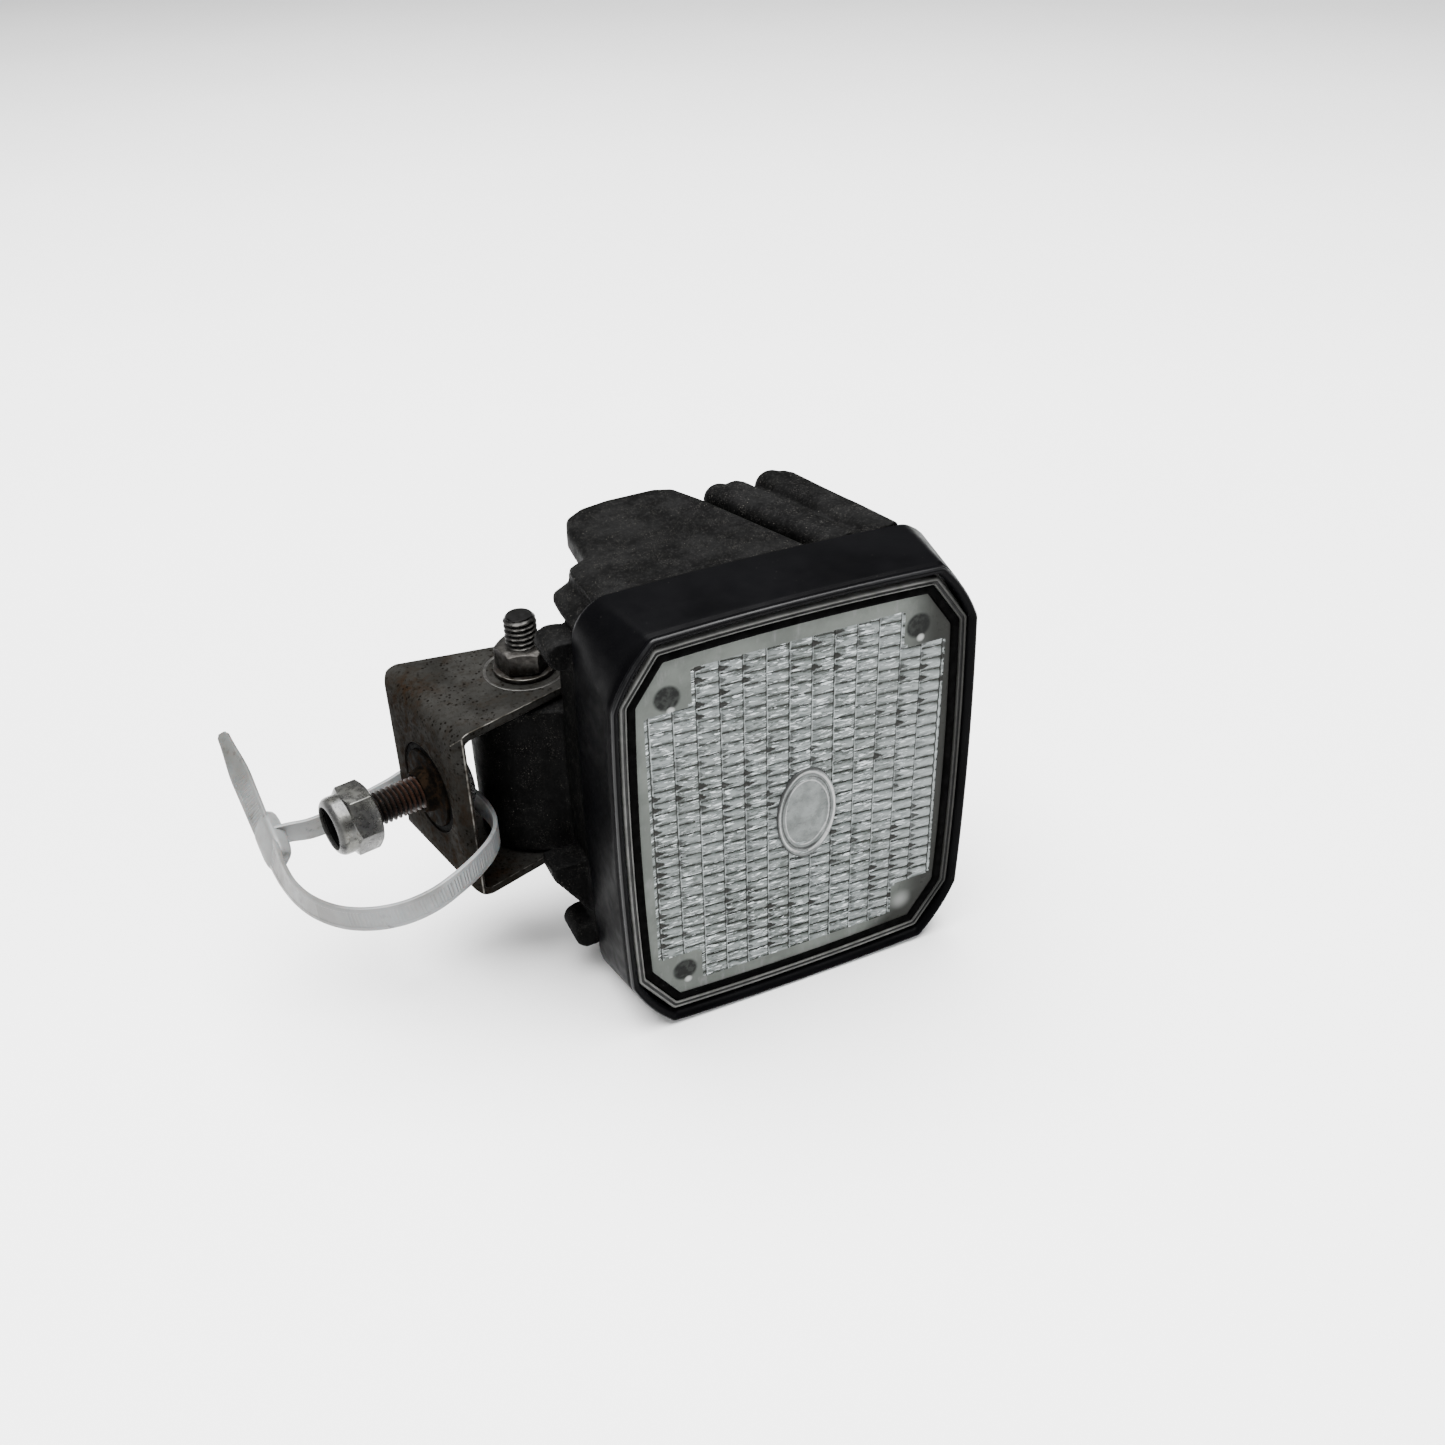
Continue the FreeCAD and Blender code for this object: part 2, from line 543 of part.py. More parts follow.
def housing():
    """Moulded housing: rim inside the bezel, bowl, ribs, knuckle, rear wall with the cap's collar."""
    rim_half = (BEZEL[0] - 2.7, BEZEL[1] - 2.7)
    shell = [bowl(rim_half, (33.5, 40.5), 9.6, BOWL_REAR), left_band(), knuckle()]
    for rib in housing_ribs():
        shell += mirrored(rib)
    shell.append(gusset())
    collar = rod(CAP_R - 2.6, (0, BOWL_REAR - 6, 0), (0, BOWL_REAR + 12, 0))
    boss = rod(9.0, (GLAND_AT[0], 60, GLAND_AT[1]), (GLAND_AT[0], 84, GLAND_AT[1]))
    body = fuse(shell + [collar, boss])
    cavity_half = (rim_half[0] - WALL, rim_half[1] - WALL)
    cavity = bowl(cavity_half, (33.5 - WALL, 40.5 - WALL), 9.0, BOWL_REAR - WALL)
    mouth = rod(CAP_R - 5.4, (0, BOWL_REAR - 10, 0), (0, BOWL_REAR + 13, 0))
    lead_way = rod(6.6, (GLAND_AT[0], 30, GLAND_AT[1]), (GLAND_AT[0], 85, GLAND_AT[1]))
    vent_hole = rod(VENT_R, (VENT_AT[0], 50, VENT_AT[1]), (VENT_AT[0], 80, VENT_AT[1]))
    x, y = PIVOT_IN_HEAD
    sleeve_hole = rod(6.5, (x, y, -KNUCKLE_Z - 3), (x, y, KNUCKLE_Z + 3))
    body = body.cut(cavity).cut(mouth).cut(lead_way).cut(vent_hole).cut(sleeve_hole)
    posts = []
    for px, pz in corner_post_places():
        posts.append(tube(4.6, 1.6, (px, 9.6, pz), (px, 34, pz)))
    return fuse([body] + posts)


# ---------------------------------------------------------------- lamp head: optics

def parabola_radius(y):
    return math.sqrt(4 * FOCAL * max(VERTEX_Y - y, 0))


def bowl_of_light(grow, y0):
    """Solid paraboloid of revolution about Y, opened to y0 and grown outwards by grow."""
    count = 7
    radii = [(parabola_radius(y0) + 4) * i / (count - 1) for i in range(count)]
    points = [Vector(r, VERTEX_Y + grow - r * r / (4 * FOCAL), 0) for r in radii]
    curve = Part.BSplineCurve()
    curve.interpolate(points)
    mouth_y = points[-1].y
    edges = [curve.toShape(), Part.makeLine(points[-1], Vector(0, mouth_y, 0)),
             Part.makeLine(Vector(0, mouth_y, 0), points[0])]
    return Part.Face(Part.Wire(edges)).revolve(Vector(0, 0, 0), BACK, 360)


def reflector():
    """Pressed reflector: paraboloid with flat sides, a flange under the lens and a neck for the bulb."""
    sheet = 1.0
    front = 7.4
    outer_half = (REFLECTOR_HALF[0] + sheet, REFLECTOR_HALF[1] + sheet)
    outer = bowl_of_light(sheet * 1.3, front).common(frame_prism(outer_half, REFLECTOR_CUT, front, 60))
    inner = bowl_of_light(0, front).common(frame_prism(REFLECTOR_HALF, REFLECTOR_CUT, front - 3, 60))
    flange = frame_prism((49.0, 59.8), (RING_CUT[0], RING_CUT[1] + 1), front - 1.2, front)
    neck = rod(13.0, (0, 44, 0), (0, 53, 0))
    body = fuse([outer, flange, neck]).cut(inner)
    body = body.cut(frame_prism(REFLECTOR_HALF, REFLECTOR_CUT, 0, front + 0.01))
    body = body.cut(rod(10.2, (0, 30, 0), (0, 60, 0)))
    for x, z in corner_post_places():
        body = body.cut(rod(4.8, (x, 0, z), (x, 40, z)))
    return body


def corner_screws():
    """Screws with broad dark heads on the corner posts; they clamp the reflector and show through the lens."""
    screws = []
    for x, z in corner_post_places():
        head = rod(4.4, (x, 7.4, z), (x, 9.6, z))
        stem = rod(1.55, (x, 9.6, z), (x, 24, z))
        screws.append(fuse([head, stem]))
    return group(screws)


# ---------------------------------------------------------------- lamp head: bulb and rear

def bulb_glass():
    """Halogen capsule: a thin glass tube with a domed front."""
    outer = fuse([rod(5.6, (0, 26, 0), (0, 46, 0)), Part.makeSphere(5.6, Vector(0, 26, 0))])
    inner = fuse([rod(4.8, (0, 26, 0), (0, 44, 0)), Part.makeSphere(4.8, Vector(0, 26, 0))])
    return outer.cut(inner)


def bulb_filament():
    """Filament coil across the capsule on its two posts, drawn plain."""
    coil = rod(0.7, (-2.6, 27, 0), (2.6, 27, 0))
    posts = [rod(0.35, (x, 26.8, 0), (x, 44, 0)) for x in (-2.2, 2.2)]
    return fuse([coil] + posts)


def bulb_base():
    """Metal base with its locating flange behind the reflector's neck."""
    stem = rod(9.4, (0, 46, 0), (0, 53.1, 0))
    flange = rod(12.4, (0, 53.1, 0), (0, 54.9, 0))
    back = rod(6.0, (0, 54.9, 0), (0, 59, 0))
    return fuse([stem, flange, back])


def bulb_clip():
    """Spring wire across the bulb's flange, hinged at one side of the neck."""
    wire = 0.7
    y = 54.95 + wire
    legs = [rod(wire, (-16, y, z), (13, y, z)) for z in (-8, 8)]
    bridge = rod(wire, (13, y, -8), (13, y, 8))
    corners = [Part.makeSphere(wire, Vector(x, y, z)) for x in (-16, 13) for z in (-8, 8)]
    feet = [rod(wire, (-16, y, z), (-16, y, z * 1.35)) for z in (-8, 8)]
    return fuse(legs + [bridge] + feet + corners)


def bulb_lead():
    """Insulated lead from the bulb's base towards the gland."""
    path = [(0, 59, 0), (0, 62, 0), (-8, 63, -16), (GLAND_AT[0], 60, -30), (GLAND_AT[0], 57, -33.2)]
    pieces = [rod(1.3, a, b) for a, b in zip(path, path[1:])]
    joints = [Part.makeSphere(1.3, Vector(*p)) for p in path[1:-1]]
    return fuse(pieces + joints)


def lead_terminal():
    """Blade terminal in its sleeve at the end of the bulb's lead."""
    x = GLAND_AT[0]
    return block((x - 3.2, x + 3.2), (44, 55.9), (-36.0, -31.8))


def rear_cap():
    """Round cover over the collar, with finger ribs round its edge."""
    top = BOWL_REAR + 15
    skirt = rod(CAP_R, (0, BOWL_REAR + 1.5, 0), (0, top, 0))
    skirt = skirt.makeFillet(2.5, [e for e in skirt.Edges if e.BoundBox.YMin > top - 0.01])
    grips = []
    for i in range(12):
        angle = math.radians(30 * i + 15)
        x, z = (CAP_R - 0.4) * math.cos(angle), (CAP_R - 0.4) * math.sin(angle)
        grips.append(rod(1.6, (x, BOWL_REAR + 2.5, z), (x, top - 3, z)))
    cap = fuse([skirt] + grips)
    hollow = rod(CAP_R - 2.3, (0, BOWL_REAR, 0), (0, BOWL_REAR + 12.4, 0))
    handle = block((-3.0, 3.0), (top - 1, top + 4.5), (-20, 20))
    handle = handle.makeFillet(1.4, [e for e in handle.Edges if e.BoundBox.YMin > top])
    return fuse([cap.cut(hollow), handle])


def rear_cap_seal():
    """Sealing ring on the collar's end, under the cap."""
    start = BOWL_REAR + 12.05
    return tube(CAP_R - 2.7, CAP_R - 5.2, (0, start, 0), (0, start + 0.3, 0))


def cable_gland():
    """Rubber gland for the supply cable, empty."""
    x, z = GLAND_AT
    body = rod(6.6, (x, 70, z), (x, 84, z))
    nose = Part.makeCone(8.4, 5.6, 9, Vector(x, 84, z), BACK)
    return fuse([body, nose]).cut(rod(CABLE_R, (x, 60, z), (x, 100, z)))


def breather_vent():
    """Small plug that lets the housing breathe."""
    x, z = VENT_AT
    stem = rod(VENT_R, (x, 62, z), (x, BOWL_REAR, z))
    head = rod(3.4, (x, BOWL_REAR, z), (x, BOWL_REAR + 2.4, z))
    return fuse([stem, head])


# ---------------------------------------------------------------- nodes

BRACKET_NODES = {
    "bracket": bracket,
    "web_grommet": web_grommet,
    "grommet_plate": grommet_plate,
    "mounting_bolt": mounting_bolt,
    "head_washer": head_washer,
    "mounting_nut": mounting_nut,
    "nut_insert": nut_insert,
    "pivot_bolt": pivot_bolt,
    "pivot_nut": pivot_nut,
    "pivot_washers": pivot_washers,
    "friction_washers": friction_washers,
    "cable_tie_strap": cable_tie_strap,
    "cable_tie_head": cable_tie_head,
}

HEAD_NODES = {
    "bezel": bezel,
    "lens_frame": lens_frame,
    "lens_gasket": lens_gasket,
    "lens": lens,
    "housing_seal": housing_seal,
    "housing": housing,
    "pivot_sleeve": pivot_sleeve,
    "reflector": reflector,
    "corner_screws": corner_screws,
    "bulb_glass": bulb_glass,
    "bulb_filament": bulb_filament,
    "bulb_base": bulb_base,
    "bulb_clip": bulb_clip,
    "bulb_lead": bulb_lead,
    "lead_terminal": lead_terminal,
    "rear_cap": rear_cap,
    "rear_cap_seal": rear_cap_seal,
    "cable_gland": cable_gland,
    "breather_vent": breather_vent,
}

for node, make in BRACKET_NODES.items():
    export(node, make())
for node, make in HEAD_NODES.items():
    export(node, in_head(make()))
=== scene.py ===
"""Looks of the fog and work light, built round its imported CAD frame.

Shapes are worked out in millimetres, in one of two local frames, and then placed in the row frame:
WEB has its origin on the mounting bolt's axis at the outer face of the bracket's web, and HEAD has its
origin at the centre of the lens ring's front plane, with +X across the lens, +Y into the lamp and +Z up.
"""
import json
import math
import random

import bmesh
import bpy
from mathutils import Matrix, Vector


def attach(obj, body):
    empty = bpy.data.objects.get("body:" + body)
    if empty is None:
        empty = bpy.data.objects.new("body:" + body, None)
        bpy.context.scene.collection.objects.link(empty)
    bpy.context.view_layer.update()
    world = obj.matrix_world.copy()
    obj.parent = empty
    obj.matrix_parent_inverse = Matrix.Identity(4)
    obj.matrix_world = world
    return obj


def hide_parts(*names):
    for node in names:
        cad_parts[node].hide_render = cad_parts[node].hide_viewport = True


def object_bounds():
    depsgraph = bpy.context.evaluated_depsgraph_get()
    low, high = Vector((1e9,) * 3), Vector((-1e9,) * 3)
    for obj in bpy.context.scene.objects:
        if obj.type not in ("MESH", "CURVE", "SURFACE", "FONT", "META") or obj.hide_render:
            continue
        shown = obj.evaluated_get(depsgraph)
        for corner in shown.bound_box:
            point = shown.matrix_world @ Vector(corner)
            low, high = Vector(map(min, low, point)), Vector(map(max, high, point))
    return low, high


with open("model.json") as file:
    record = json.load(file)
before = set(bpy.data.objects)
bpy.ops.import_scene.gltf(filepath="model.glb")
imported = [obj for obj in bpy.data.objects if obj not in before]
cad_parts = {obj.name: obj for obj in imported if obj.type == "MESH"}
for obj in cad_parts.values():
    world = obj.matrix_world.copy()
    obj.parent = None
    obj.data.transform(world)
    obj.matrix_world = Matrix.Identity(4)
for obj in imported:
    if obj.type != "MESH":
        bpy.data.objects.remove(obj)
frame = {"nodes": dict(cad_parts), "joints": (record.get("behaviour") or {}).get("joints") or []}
cad_box = [list(corner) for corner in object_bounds()]

# ---- frames and driving dimensions, mm

MM = 0.001
ROW = Matrix.Scale(MM, 4)
JOINTS = {joint["name"]: joint for joint in frame["joints"]}
PIVOT = Vector(JOINTS["head_tilt"]["pos_m"]) / MM
PIVOT_IN_HEAD = Vector((-57.3, 60.5, 0))
HEAD_YAW = -12.0
HEAD_RISE = Vector((0, 0, 1.0))
HUB_TALL = 3.4
WEB = ROW @ Matrix.Translation((HUB_TALL, 0, 0))
HEAD = (ROW @ Matrix.Translation(PIVOT + HEAD_RISE) @ Matrix.Rotation(math.radians(HEAD_YAW), 4, "Z")
        @ Matrix.Translation(-PIVOT_IN_HEAD))

BEZEL = (55.0, 66.0)        # half width and half height
BEZEL_CUT = (13.0, 19.0)    # the corner chamfer's run along X and Z
BEZEL_REAR_CUT = (9.6, 16.0)
BEZEL_REAR = 26.0
RING = (52.1, 62.1)         # the grey ring round the lens
RING_CUT = (11.2, 15.3)
LENS = (47.5, 58.0)
LENS_CUT = (9.5, 13.0)
BOLT_R = 5.0
BOLT_PITCH = 1.5
BOLT_END_X = -28.2
COLLAR_X = -26.0
STUD_R = 4.7
STUD_PITCH = 1.59
STUD_TOP_Z = 46.0
NUT_TOP_Z = 36.8

# the fluted field of the lens, mm
COLUMN = 6.74               # pitch of the flute columns
COLUMNS = 13
FIELD_LEFT = -43.3
ROW_TALL = 3.7              # pitch of the flutes
FIELD_LOW = -53.6
FIELD_HIGH = 52.6
ROW_SHIFT = 0.5             # every second column's flutes sit this part of a flute higher
ROW_STEPS = 8               # mesh rows in one flute
COLUMN_STEPS = 6            # mesh columns in one flute
LENS_FRONT = 1.05
LENS_BACK = 5.4
NOTCH = (2 * COLUMN, 12.0)  # the field leaves this much free at each corner, for the dimples
DIMPLE_AT = [(-37.8, 45.4), (36.2, 47.2), (-36.5, -48.2), (35.5, -49.4)]
DIMPLE_R = 4.0
OVAL_AT = (2.6, -4.6)
OVAL = (9.3, 15.4)          # half width and half height of the plain medallion


# ---- mesh helpers

def add_piece(name, mesh, body, materials, replaces=(), sharp=35):
    """Link a mesh in the row frame as a piece that rides on a body; edges past an angle stay sharp."""
    if not mesh.materials:
        for material in materials:
            mesh.materials.append(material)
    mesh.shade_smooth()
    mesh.set_sharp_from_angle(angle=math.radians(sharp))
    made = bpy.data.objects.new(name, mesh)
    bpy.context.scene.collection.objects.link(made)
    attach(made, body)
    if replaces:
        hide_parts(*replaces)
    return made


def mesh_from(name, points, faces, place, kinds=None):
    """A mesh with consistent normals, and one material index a face where kinds gives it."""
    mesh = bpy.data.meshes.new(name)
    mesh.from_pydata([place @ Vector(p) for p in points], [], faces)
    if kinds:
        mesh.polygons.foreach_set("material_index", kinds)
    cleaned = bmesh.new()
    cleaned.from_mesh(mesh)
    bmesh.ops.remove_doubles(cleaned, verts=cleaned.verts, dist=1e-6)
    bmesh.ops.recalc_face_normals(cleaned, faces=cleaned.faces)
    cleaned.to_mesh(mesh)
    cleaned.free()
    return mesh


def loft(rings, closed=False):
    """Points and faces of a skin through rings of equal length; closed joins the last ring to the first."""
    count = len(rings[0])
    points = [p for ring in rings for p in ring]
    faces = []
    for i in range(len(rings) if closed else len(rings) - 1):
        a, b = i * count, (i + 1) % len(rings) * count
        for j in range(count):
            k = (j + 1) % count
            faces.append((a + j, a + k, b + k, b + j))
    if not closed:
        faces.append(tuple(range(count)))
        faces.append(tuple(range(len(points) - count, len(points))))
    return points, faces


def evaluated(source):
    """The mesh of an object with its modifiers applied; the object is removed."""
    bpy.context.view_layer.update()
    made = bpy.data.meshes.new_from_object(source.evaluated_get(bpy.context.evaluated_depsgraph_get()))
    bpy.data.objects.remove(source)
    return made


def scratch_object(mesh):
    made = bpy.data.objects.new("scratch", mesh)
    bpy.context.scene.collection.objects.link(made)
    return made


def round_edges(source, width, miter="MITER_SHARP", edge_kind=-1):
    """Put a two-step bevel of width millimetres on the sharp edges, with a material of its own if given."""
    bevel = source.modifiers.new("round_off", "BEVEL")
    bevel.width = width * MM
    bevel.segments = 2
    bevel.limit_method = "ANGLE"
    bevel.angle_limit = math.radians(32)
    bevel.material = edge_kind
    bevel.miter_outer = miter


def refined(node, body, slot, materials, bevel=0.25, edge_kind=-1):
    """A CAD node again as a piece with rounded edges, which can have a finish of their own."""
    mesh = frame["nodes"][node].data.copy()
    mesh.materials.clear()
    flat = bmesh.new()
    flat.from_mesh(mesh)
    bmesh.ops.remove_doubles(flat, verts=flat.verts, dist=2e-6)
    bmesh.ops.dissolve_limit(flat, angle_limit=math.radians(0.6), verts=flat.verts, edges=flat.edges)
    flat.to_mesh(mesh)
    flat.free()
    for material in materials:
        mesh.materials.append(material)
    source = scratch_object(mesh)
    round_edges(source, bevel, "MITER_ARC", edge_kind)
    return add_piece(node + "_finished", evaluated(source), body, materials, [node])


def bezier(a, b, c, t):
    """A point of the quadratic curve from a to c that is pulled towards b."""
    return a * (1 - t) ** 2 + b * (2 * t * (1 - t)) + c * t ** 2


def outline(half, cut, y, corner=1.0, bow=1.0, corner_bow=0.0, side_steps=10, corner_steps=4):
    """A chamfered rectangle in the plane y, with rounded corners.

    Its sides bow outwards to the half sizes, and its chamfers bow out by corner_bow.
    """
    w, h = half
    side_z, side_x = h - cut[1], w - cut[0]
    flat_w, flat_h = w - bow, h - bow
    corners = [(flat_w, -side_z), (flat_w, side_z), (side_x, flat_h), (-side_x, flat_h),
               (-flat_w, side_z), (-flat_w, -side_z), (-side_x, -flat_h), (side_x, -flat_h)]
    corners = [Vector((x, y, z)) for x, z in corners]
    slant = Vector((cut[1], 0, cut[0])).normalized() * corner_bow
    out = [Vector((bow, 0, 0)), slant, Vector((0, 0, bow)), Vector((-slant.x, 0, slant.z)),
           Vector((-bow, 0, 0)), -slant, Vector((0, 0, -bow)), Vector((slant.x, 0, -slant.z))]
    sides = []
    for i, push in enumerate(out):
        a, b = corners[i], corners[(i + 1) % 8]
        trim = corner / (b - a).length
        steps = side_steps if i % 2 == 0 else 6
        side = []
        for j in range(steps + 1):
            t = trim + (1 - 2 * trim) * j / steps
            side.append(a.lerp(b, t) + push * (1 - (2 * t - 1) ** 2))
        sides.append(side)
    ring = []
    for i, side in enumerate(sides):
        following = sides[(i + 1) % 8]
        middle = corners[(i + 1) % 8]
        ring += side
        ring += [bezier(side[-1], middle, following[0], j / corner_steps) for j in range(1, corner_steps)]
    return ring


def ring_body(name, profile, half, cut, place, corner=1.0, rear_cut=None, rear_bow=0.0):
    """A closed band round the lens. The profile gives (inset from the half sizes, depth) and, where the
    corner is rounder than the given one, by how much.

    Where rear_cut is given, the corner chamfers shrink evenly towards it at the bezel's rear, and bow out
    by rear_bow there.
    """
    rings = []
    rear_cut = rear_cut or cut
    for inset, y, *more in profile:
        inner_half = (half[0] - inset, half[1] - inset)
        back = min(1.0, max(0.0, y / BEZEL_REAR))
        here = [front + (rear - front) * back for front, rear in zip(cut, rear_cut)]
        inner_cut = (here[0] - 0.49 * inset, here[1] - 0.67 * inset)
        corner_bow = rear_bow * (0.35 + 0.65 * back)
        rings.append(outline(inner_half, inner_cut, y, corner + sum(more), 1.0, corner_bow))
    return mesh_from(name, *loft(rings, closed=True), place)


def thread(name, radius, pitch, depth, low, high, place, steps=48, rows=10):
    """A threaded rod about Z from low to high, with a chamfered end at high and a helical groove."""
    rings = []
    count = int((high - low) / pitch * rows)
    chamfer = depth * 1.3
    for i in range(count + 1):
        z = low + (high - low) * i / count
        limit = radius - max(0.0, z - (high - chamfer)) * 0.9
        ring = []
        for j in range(steps):
            turn = j / steps
            phase = (z / pitch - turn) % 1.0
            flank = min(1.0, max(0.0, (abs(phase - 0.5) * 2 - 0.12) / 0.76))
            r = min(radius - depth * flank, limit)
            angle = 2 * math.pi * turn
            ring.append(Vector((r * math.cos(angle), r * math.sin(angle), z)))
        rings.append(ring)
    return mesh_from(name, *loft(rings), place)


# ---- material helpers

class Finish:
    """One procedural material: a Principled shader and the few nodes that the finishes below need."""

    def __init__(self, name, **shader):
        self.material = bpy.data.materials.new(name)
        self.material.use_nodes = True
        self.tree = self.material.node_tree
        self.shader = self.tree.nodes["Principled BSDF"]
        for socket, value in shader.items():
            self.shader.inputs[socket.replace("_", " ")].default_value = value
        self.place = self.tree.nodes.new("ShaderNodeTexCoord").outputs["Object"]

    def node(self, kind, inputs, **settings):
        made = self.tree.nodes.new(kind)
        for key, value in settings.items():
            setattr(made, key, value)
        for key, value in inputs.items():
            self.put(value, made.inputs[key])
        return made

    def put(self, value, socket):
        if isinstance(value, bpy.types.NodeSocket):
            self.tree.links.new(value, socket)
        else:
            socket.default_value = (*value[:3], 1.0) if socket.type == "RGBA" else value

    def noise(self, size, detail=4.0, rough=0.55, stretch=(1, 1, 1), shift=0.0):
        """Noise whose features are about size millimetres, as a value round 0.5."""
        scale = [s / (size * MM) for s in stretch]
        at = self.node("ShaderNodeMapping", {"Vector": self.place, "Location": (shift, shift, shift),
                                             "Scale": scale}).outputs[0]
        return self.node("ShaderNodeTexNoise", {"Vector": at, "Scale": 1.0, "Detail": detail,
                                                "Roughness": rough}).outputs["Fac"]

    def cells(self, size):
        """Distance to the nearest of the points scattered about size millimetres apart."""
        at = self.node("ShaderNodeVectorMath", {0: self.place, "Scale": 1 / (size * MM)},
                       operation="SCALE").outputs[0]
        return self.node("ShaderNodeTexVoronoi", {"Vector": at, "Scale": 1.0},
                         feature="F1").outputs["Distance"]

    def step(self, value, low, high, to_low=0.0, to_high=1.0):
        """A value mapped smoothly from low..high to to_low..to_high."""
        sockets = {"Value": value, "From Min": low, "From Max": high, "To Min": to_low, "To Max": to_high}
        return self.node("ShaderNodeMapRange", sockets, interpolation_type="SMOOTHSTEP").outputs["Result"]

    def patches(self, low, high, *size, **more):
        """Noise of a size with soft-edged patches cut out of it, from 0 below low to 1 above high."""
        return self.step(self.noise(*size, **more), low, high)

    def math(self, operation, a, b=0.0):
        return self.node("ShaderNodeMath", {0: a, 1: b}, operation=operation).outputs[0]

    def times(self, a, b):
        return self.math("MULTIPLY", a, b)

    def minus(self, a, b):
        return self.math("SUBTRACT", a, b)

    def gap(self, a, b):
        """Distance between two values."""
        return self.math("ABSOLUTE", self.minus(a, b))

    def mix(self, amount, a, b):
        return self.node("ShaderNodeMix", {0: amount, 6: a, 7: b}, data_type="RGBA").outputs[2]

    def over(self, base, colour, amount, part):
        """The base with a colour laid over it where amount is high, up to a part of its strength."""
        return self.mix(self.times(amount, part), base, colour)

    def axis(self, which):
        """One coordinate of the row frame, in millimetres."""
        split = self.node("ShaderNodeSeparateXYZ", {0: self.place}).outputs[which]
        return self.math("DIVIDE", split, MM)

    def distance(self, centre, squash=(1, 1, 1)):
        """Distance from a point given in row millimetres, in millimetres."""
        place = self.node("ShaderNodeMapping", {"Vector": self.place, "Location": [-c * MM * s for c, s in
                          zip(centre, squash)], "Scale": squash}).outputs[0]
        made = self.node("ShaderNodeVectorMath", {0: place}, operation="LENGTH").outputs["Value"]
        return self.math("DIVIDE", made, MM)

    def colour(self, value):
        self.put(value, self.shader.inputs["Base Color"])

    def rough(self, value):
        self.put(value, self.shader.inputs["Roughness"])

    def rough_between(self, low, high, *size, **more):
        """Roughness that wanders from low to high with noise of a size."""
        self.rough(self.step(self.noise(*size, **more), 0.3, 0.7, low, high))

    def bump(self, height, depth):
        """Relief of depth millimetres."""
        made = self.node("ShaderNodeBump", {"Height": height, "Distance": depth * MM, "Strength": 1.0,
                                            "Normal": self.last_normal()})
        self.tree.links.new(made.outputs[0], self.shader.inputs["Normal"])

    def last_normal(self):
        links = self.shader.inputs["Normal"].links
        return links[0].from_socket if links else self.node("ShaderNodeNewGeometry", {}).outputs["Normal"]


def grey(value, tint=(0, 0, 0)):
    return value + tint[0], value + tint[1], value + tint[2]


# ---- materials

def moulded_bezel():
    f = Finish("bezel_black", IOR=1.4, Specular_IOR_Level=0.03)
    cloud = f.patches(0.35, 0.68, 22, 3)
    base = f.mix(cloud, (0.0006, 0.0006, 0.0008), (0.0013, 0.0013, 0.0016))
    scuff = f.patches(0.68, 0.80, 1.3, 5, 0.7, (1, 1, 5))
    scuff = f.times(scuff, f.patches(0.50, 0.68, 14, 2, shift=3))
    dust = f.step(f.cells(2.3), 0.085, 0.05)
    dust = f.times(dust, f.patches(0.52, 0.62, 9, 2, shift=7))
    f.colour(f.mix(f.math("MAXIMUM", scuff, dust), base, (0.012, 0.0115, 0.011)))
    f.rough_between(0.36, 0.50, 6, 4, shift=11)
    f.bump(f.noise(0.7, 3), 0.012)
    f.bump(f.noise(16, 2), 0.05)
    return f.material


def crest_highlight_finish():
    """The bezel's front edge: a glossier finish that catches the light, and a lighter colour that is a
    painted highlight.
    """
    f = Finish("bezel_crest", IOR=1.45, Specular_IOR_Level=0.2)
    # Painted highlight: the crest is coloured lighter than the rest of the bezel.
    f.colour(f.mix(f.patches(0.35, 0.65, 5, 4), (0.0014, 0.0014, 0.0017), (0.0036, 0.0036, 0.0041)))
    f.rough_between(0.26, 0.42, 8, 3, shift=3)
    return f.material


def moulded_housing():
    """Matte black plastic with dust in its pores, dust brushed downwards on the steep sides, and painted
    shade that darkens the steep sides.
    """
    f = Finish("housing_black", IOR=1.4, Specular_IOR_Level=0.03)
    cloud = f.patches(0.36, 0.66, 13, 5, 0.6)
    base = f.mix(cloud, (0.0013, 0.0013, 0.0013), (0.0044, 0.0044, 0.0044))
    brushed = f.patches(0.50, 0.74, 0.7, 6, 0.75, (1, 1, 0.14))
    normal = f.node("ShaderNodeNewGeometry", {}).outputs["Normal"]
    up = f.node("ShaderNodeSeparateXYZ", {0: normal}).outputs[2]
    steep = f.step(f.math("ABSOLUTE", up), 0.85, 0.35)
    # Painted shade: the steep sides are darkened here.
    base = f.over(base, (0.0006, 0.0006, 0.0006), steep, 0.75)
    brushed = f.times(f.times(brushed, steep), 0.25)
    base = f.mix(brushed, base, (0.013, 0.0125, 0.0115))
    pores = f.patches(0.50, 0.66, 0.9, 5, 0.75, shift=27)
    base = f.mix(f.times(pores, f.step(steep, 0, 1, 0.45, 0.14)), base, (0.0140, 0.0138, 0.0135))
    dents = f.patches(0.56, 0.68, 2.2, 4, 0.6, shift=33)
    base = f.over(base, (0.0006, 0.0006, 0.0006), dents, 0.6)
    grains = f.patches(0.60, 0.70, 0.34, 2, 0.5, shift=15)
    grains = f.times(grains, f.patches(0.42, 0.62, 5, 4, 0.6, shift=18))
    base = f.over(base, (0.042, 0.040, 0.036), grains, 0.7)
    specks = f.step(f.cells(1.5), 0.13, 0.06)
    specks = f.times(specks, f.patches(0.50, 0.62, 7, 3, shift=5))
    f.colour(f.over(base, (0.060, 0.057, 0.050), specks, 0.8))
    f.rough_between(0.52, 0.72, 5, 5, shift=9)
    f.bump(f.noise(0.45, 4, 0.6), 0.07)
    f.bump(f.noise(3.5, 3), 0.05)
    return f.material


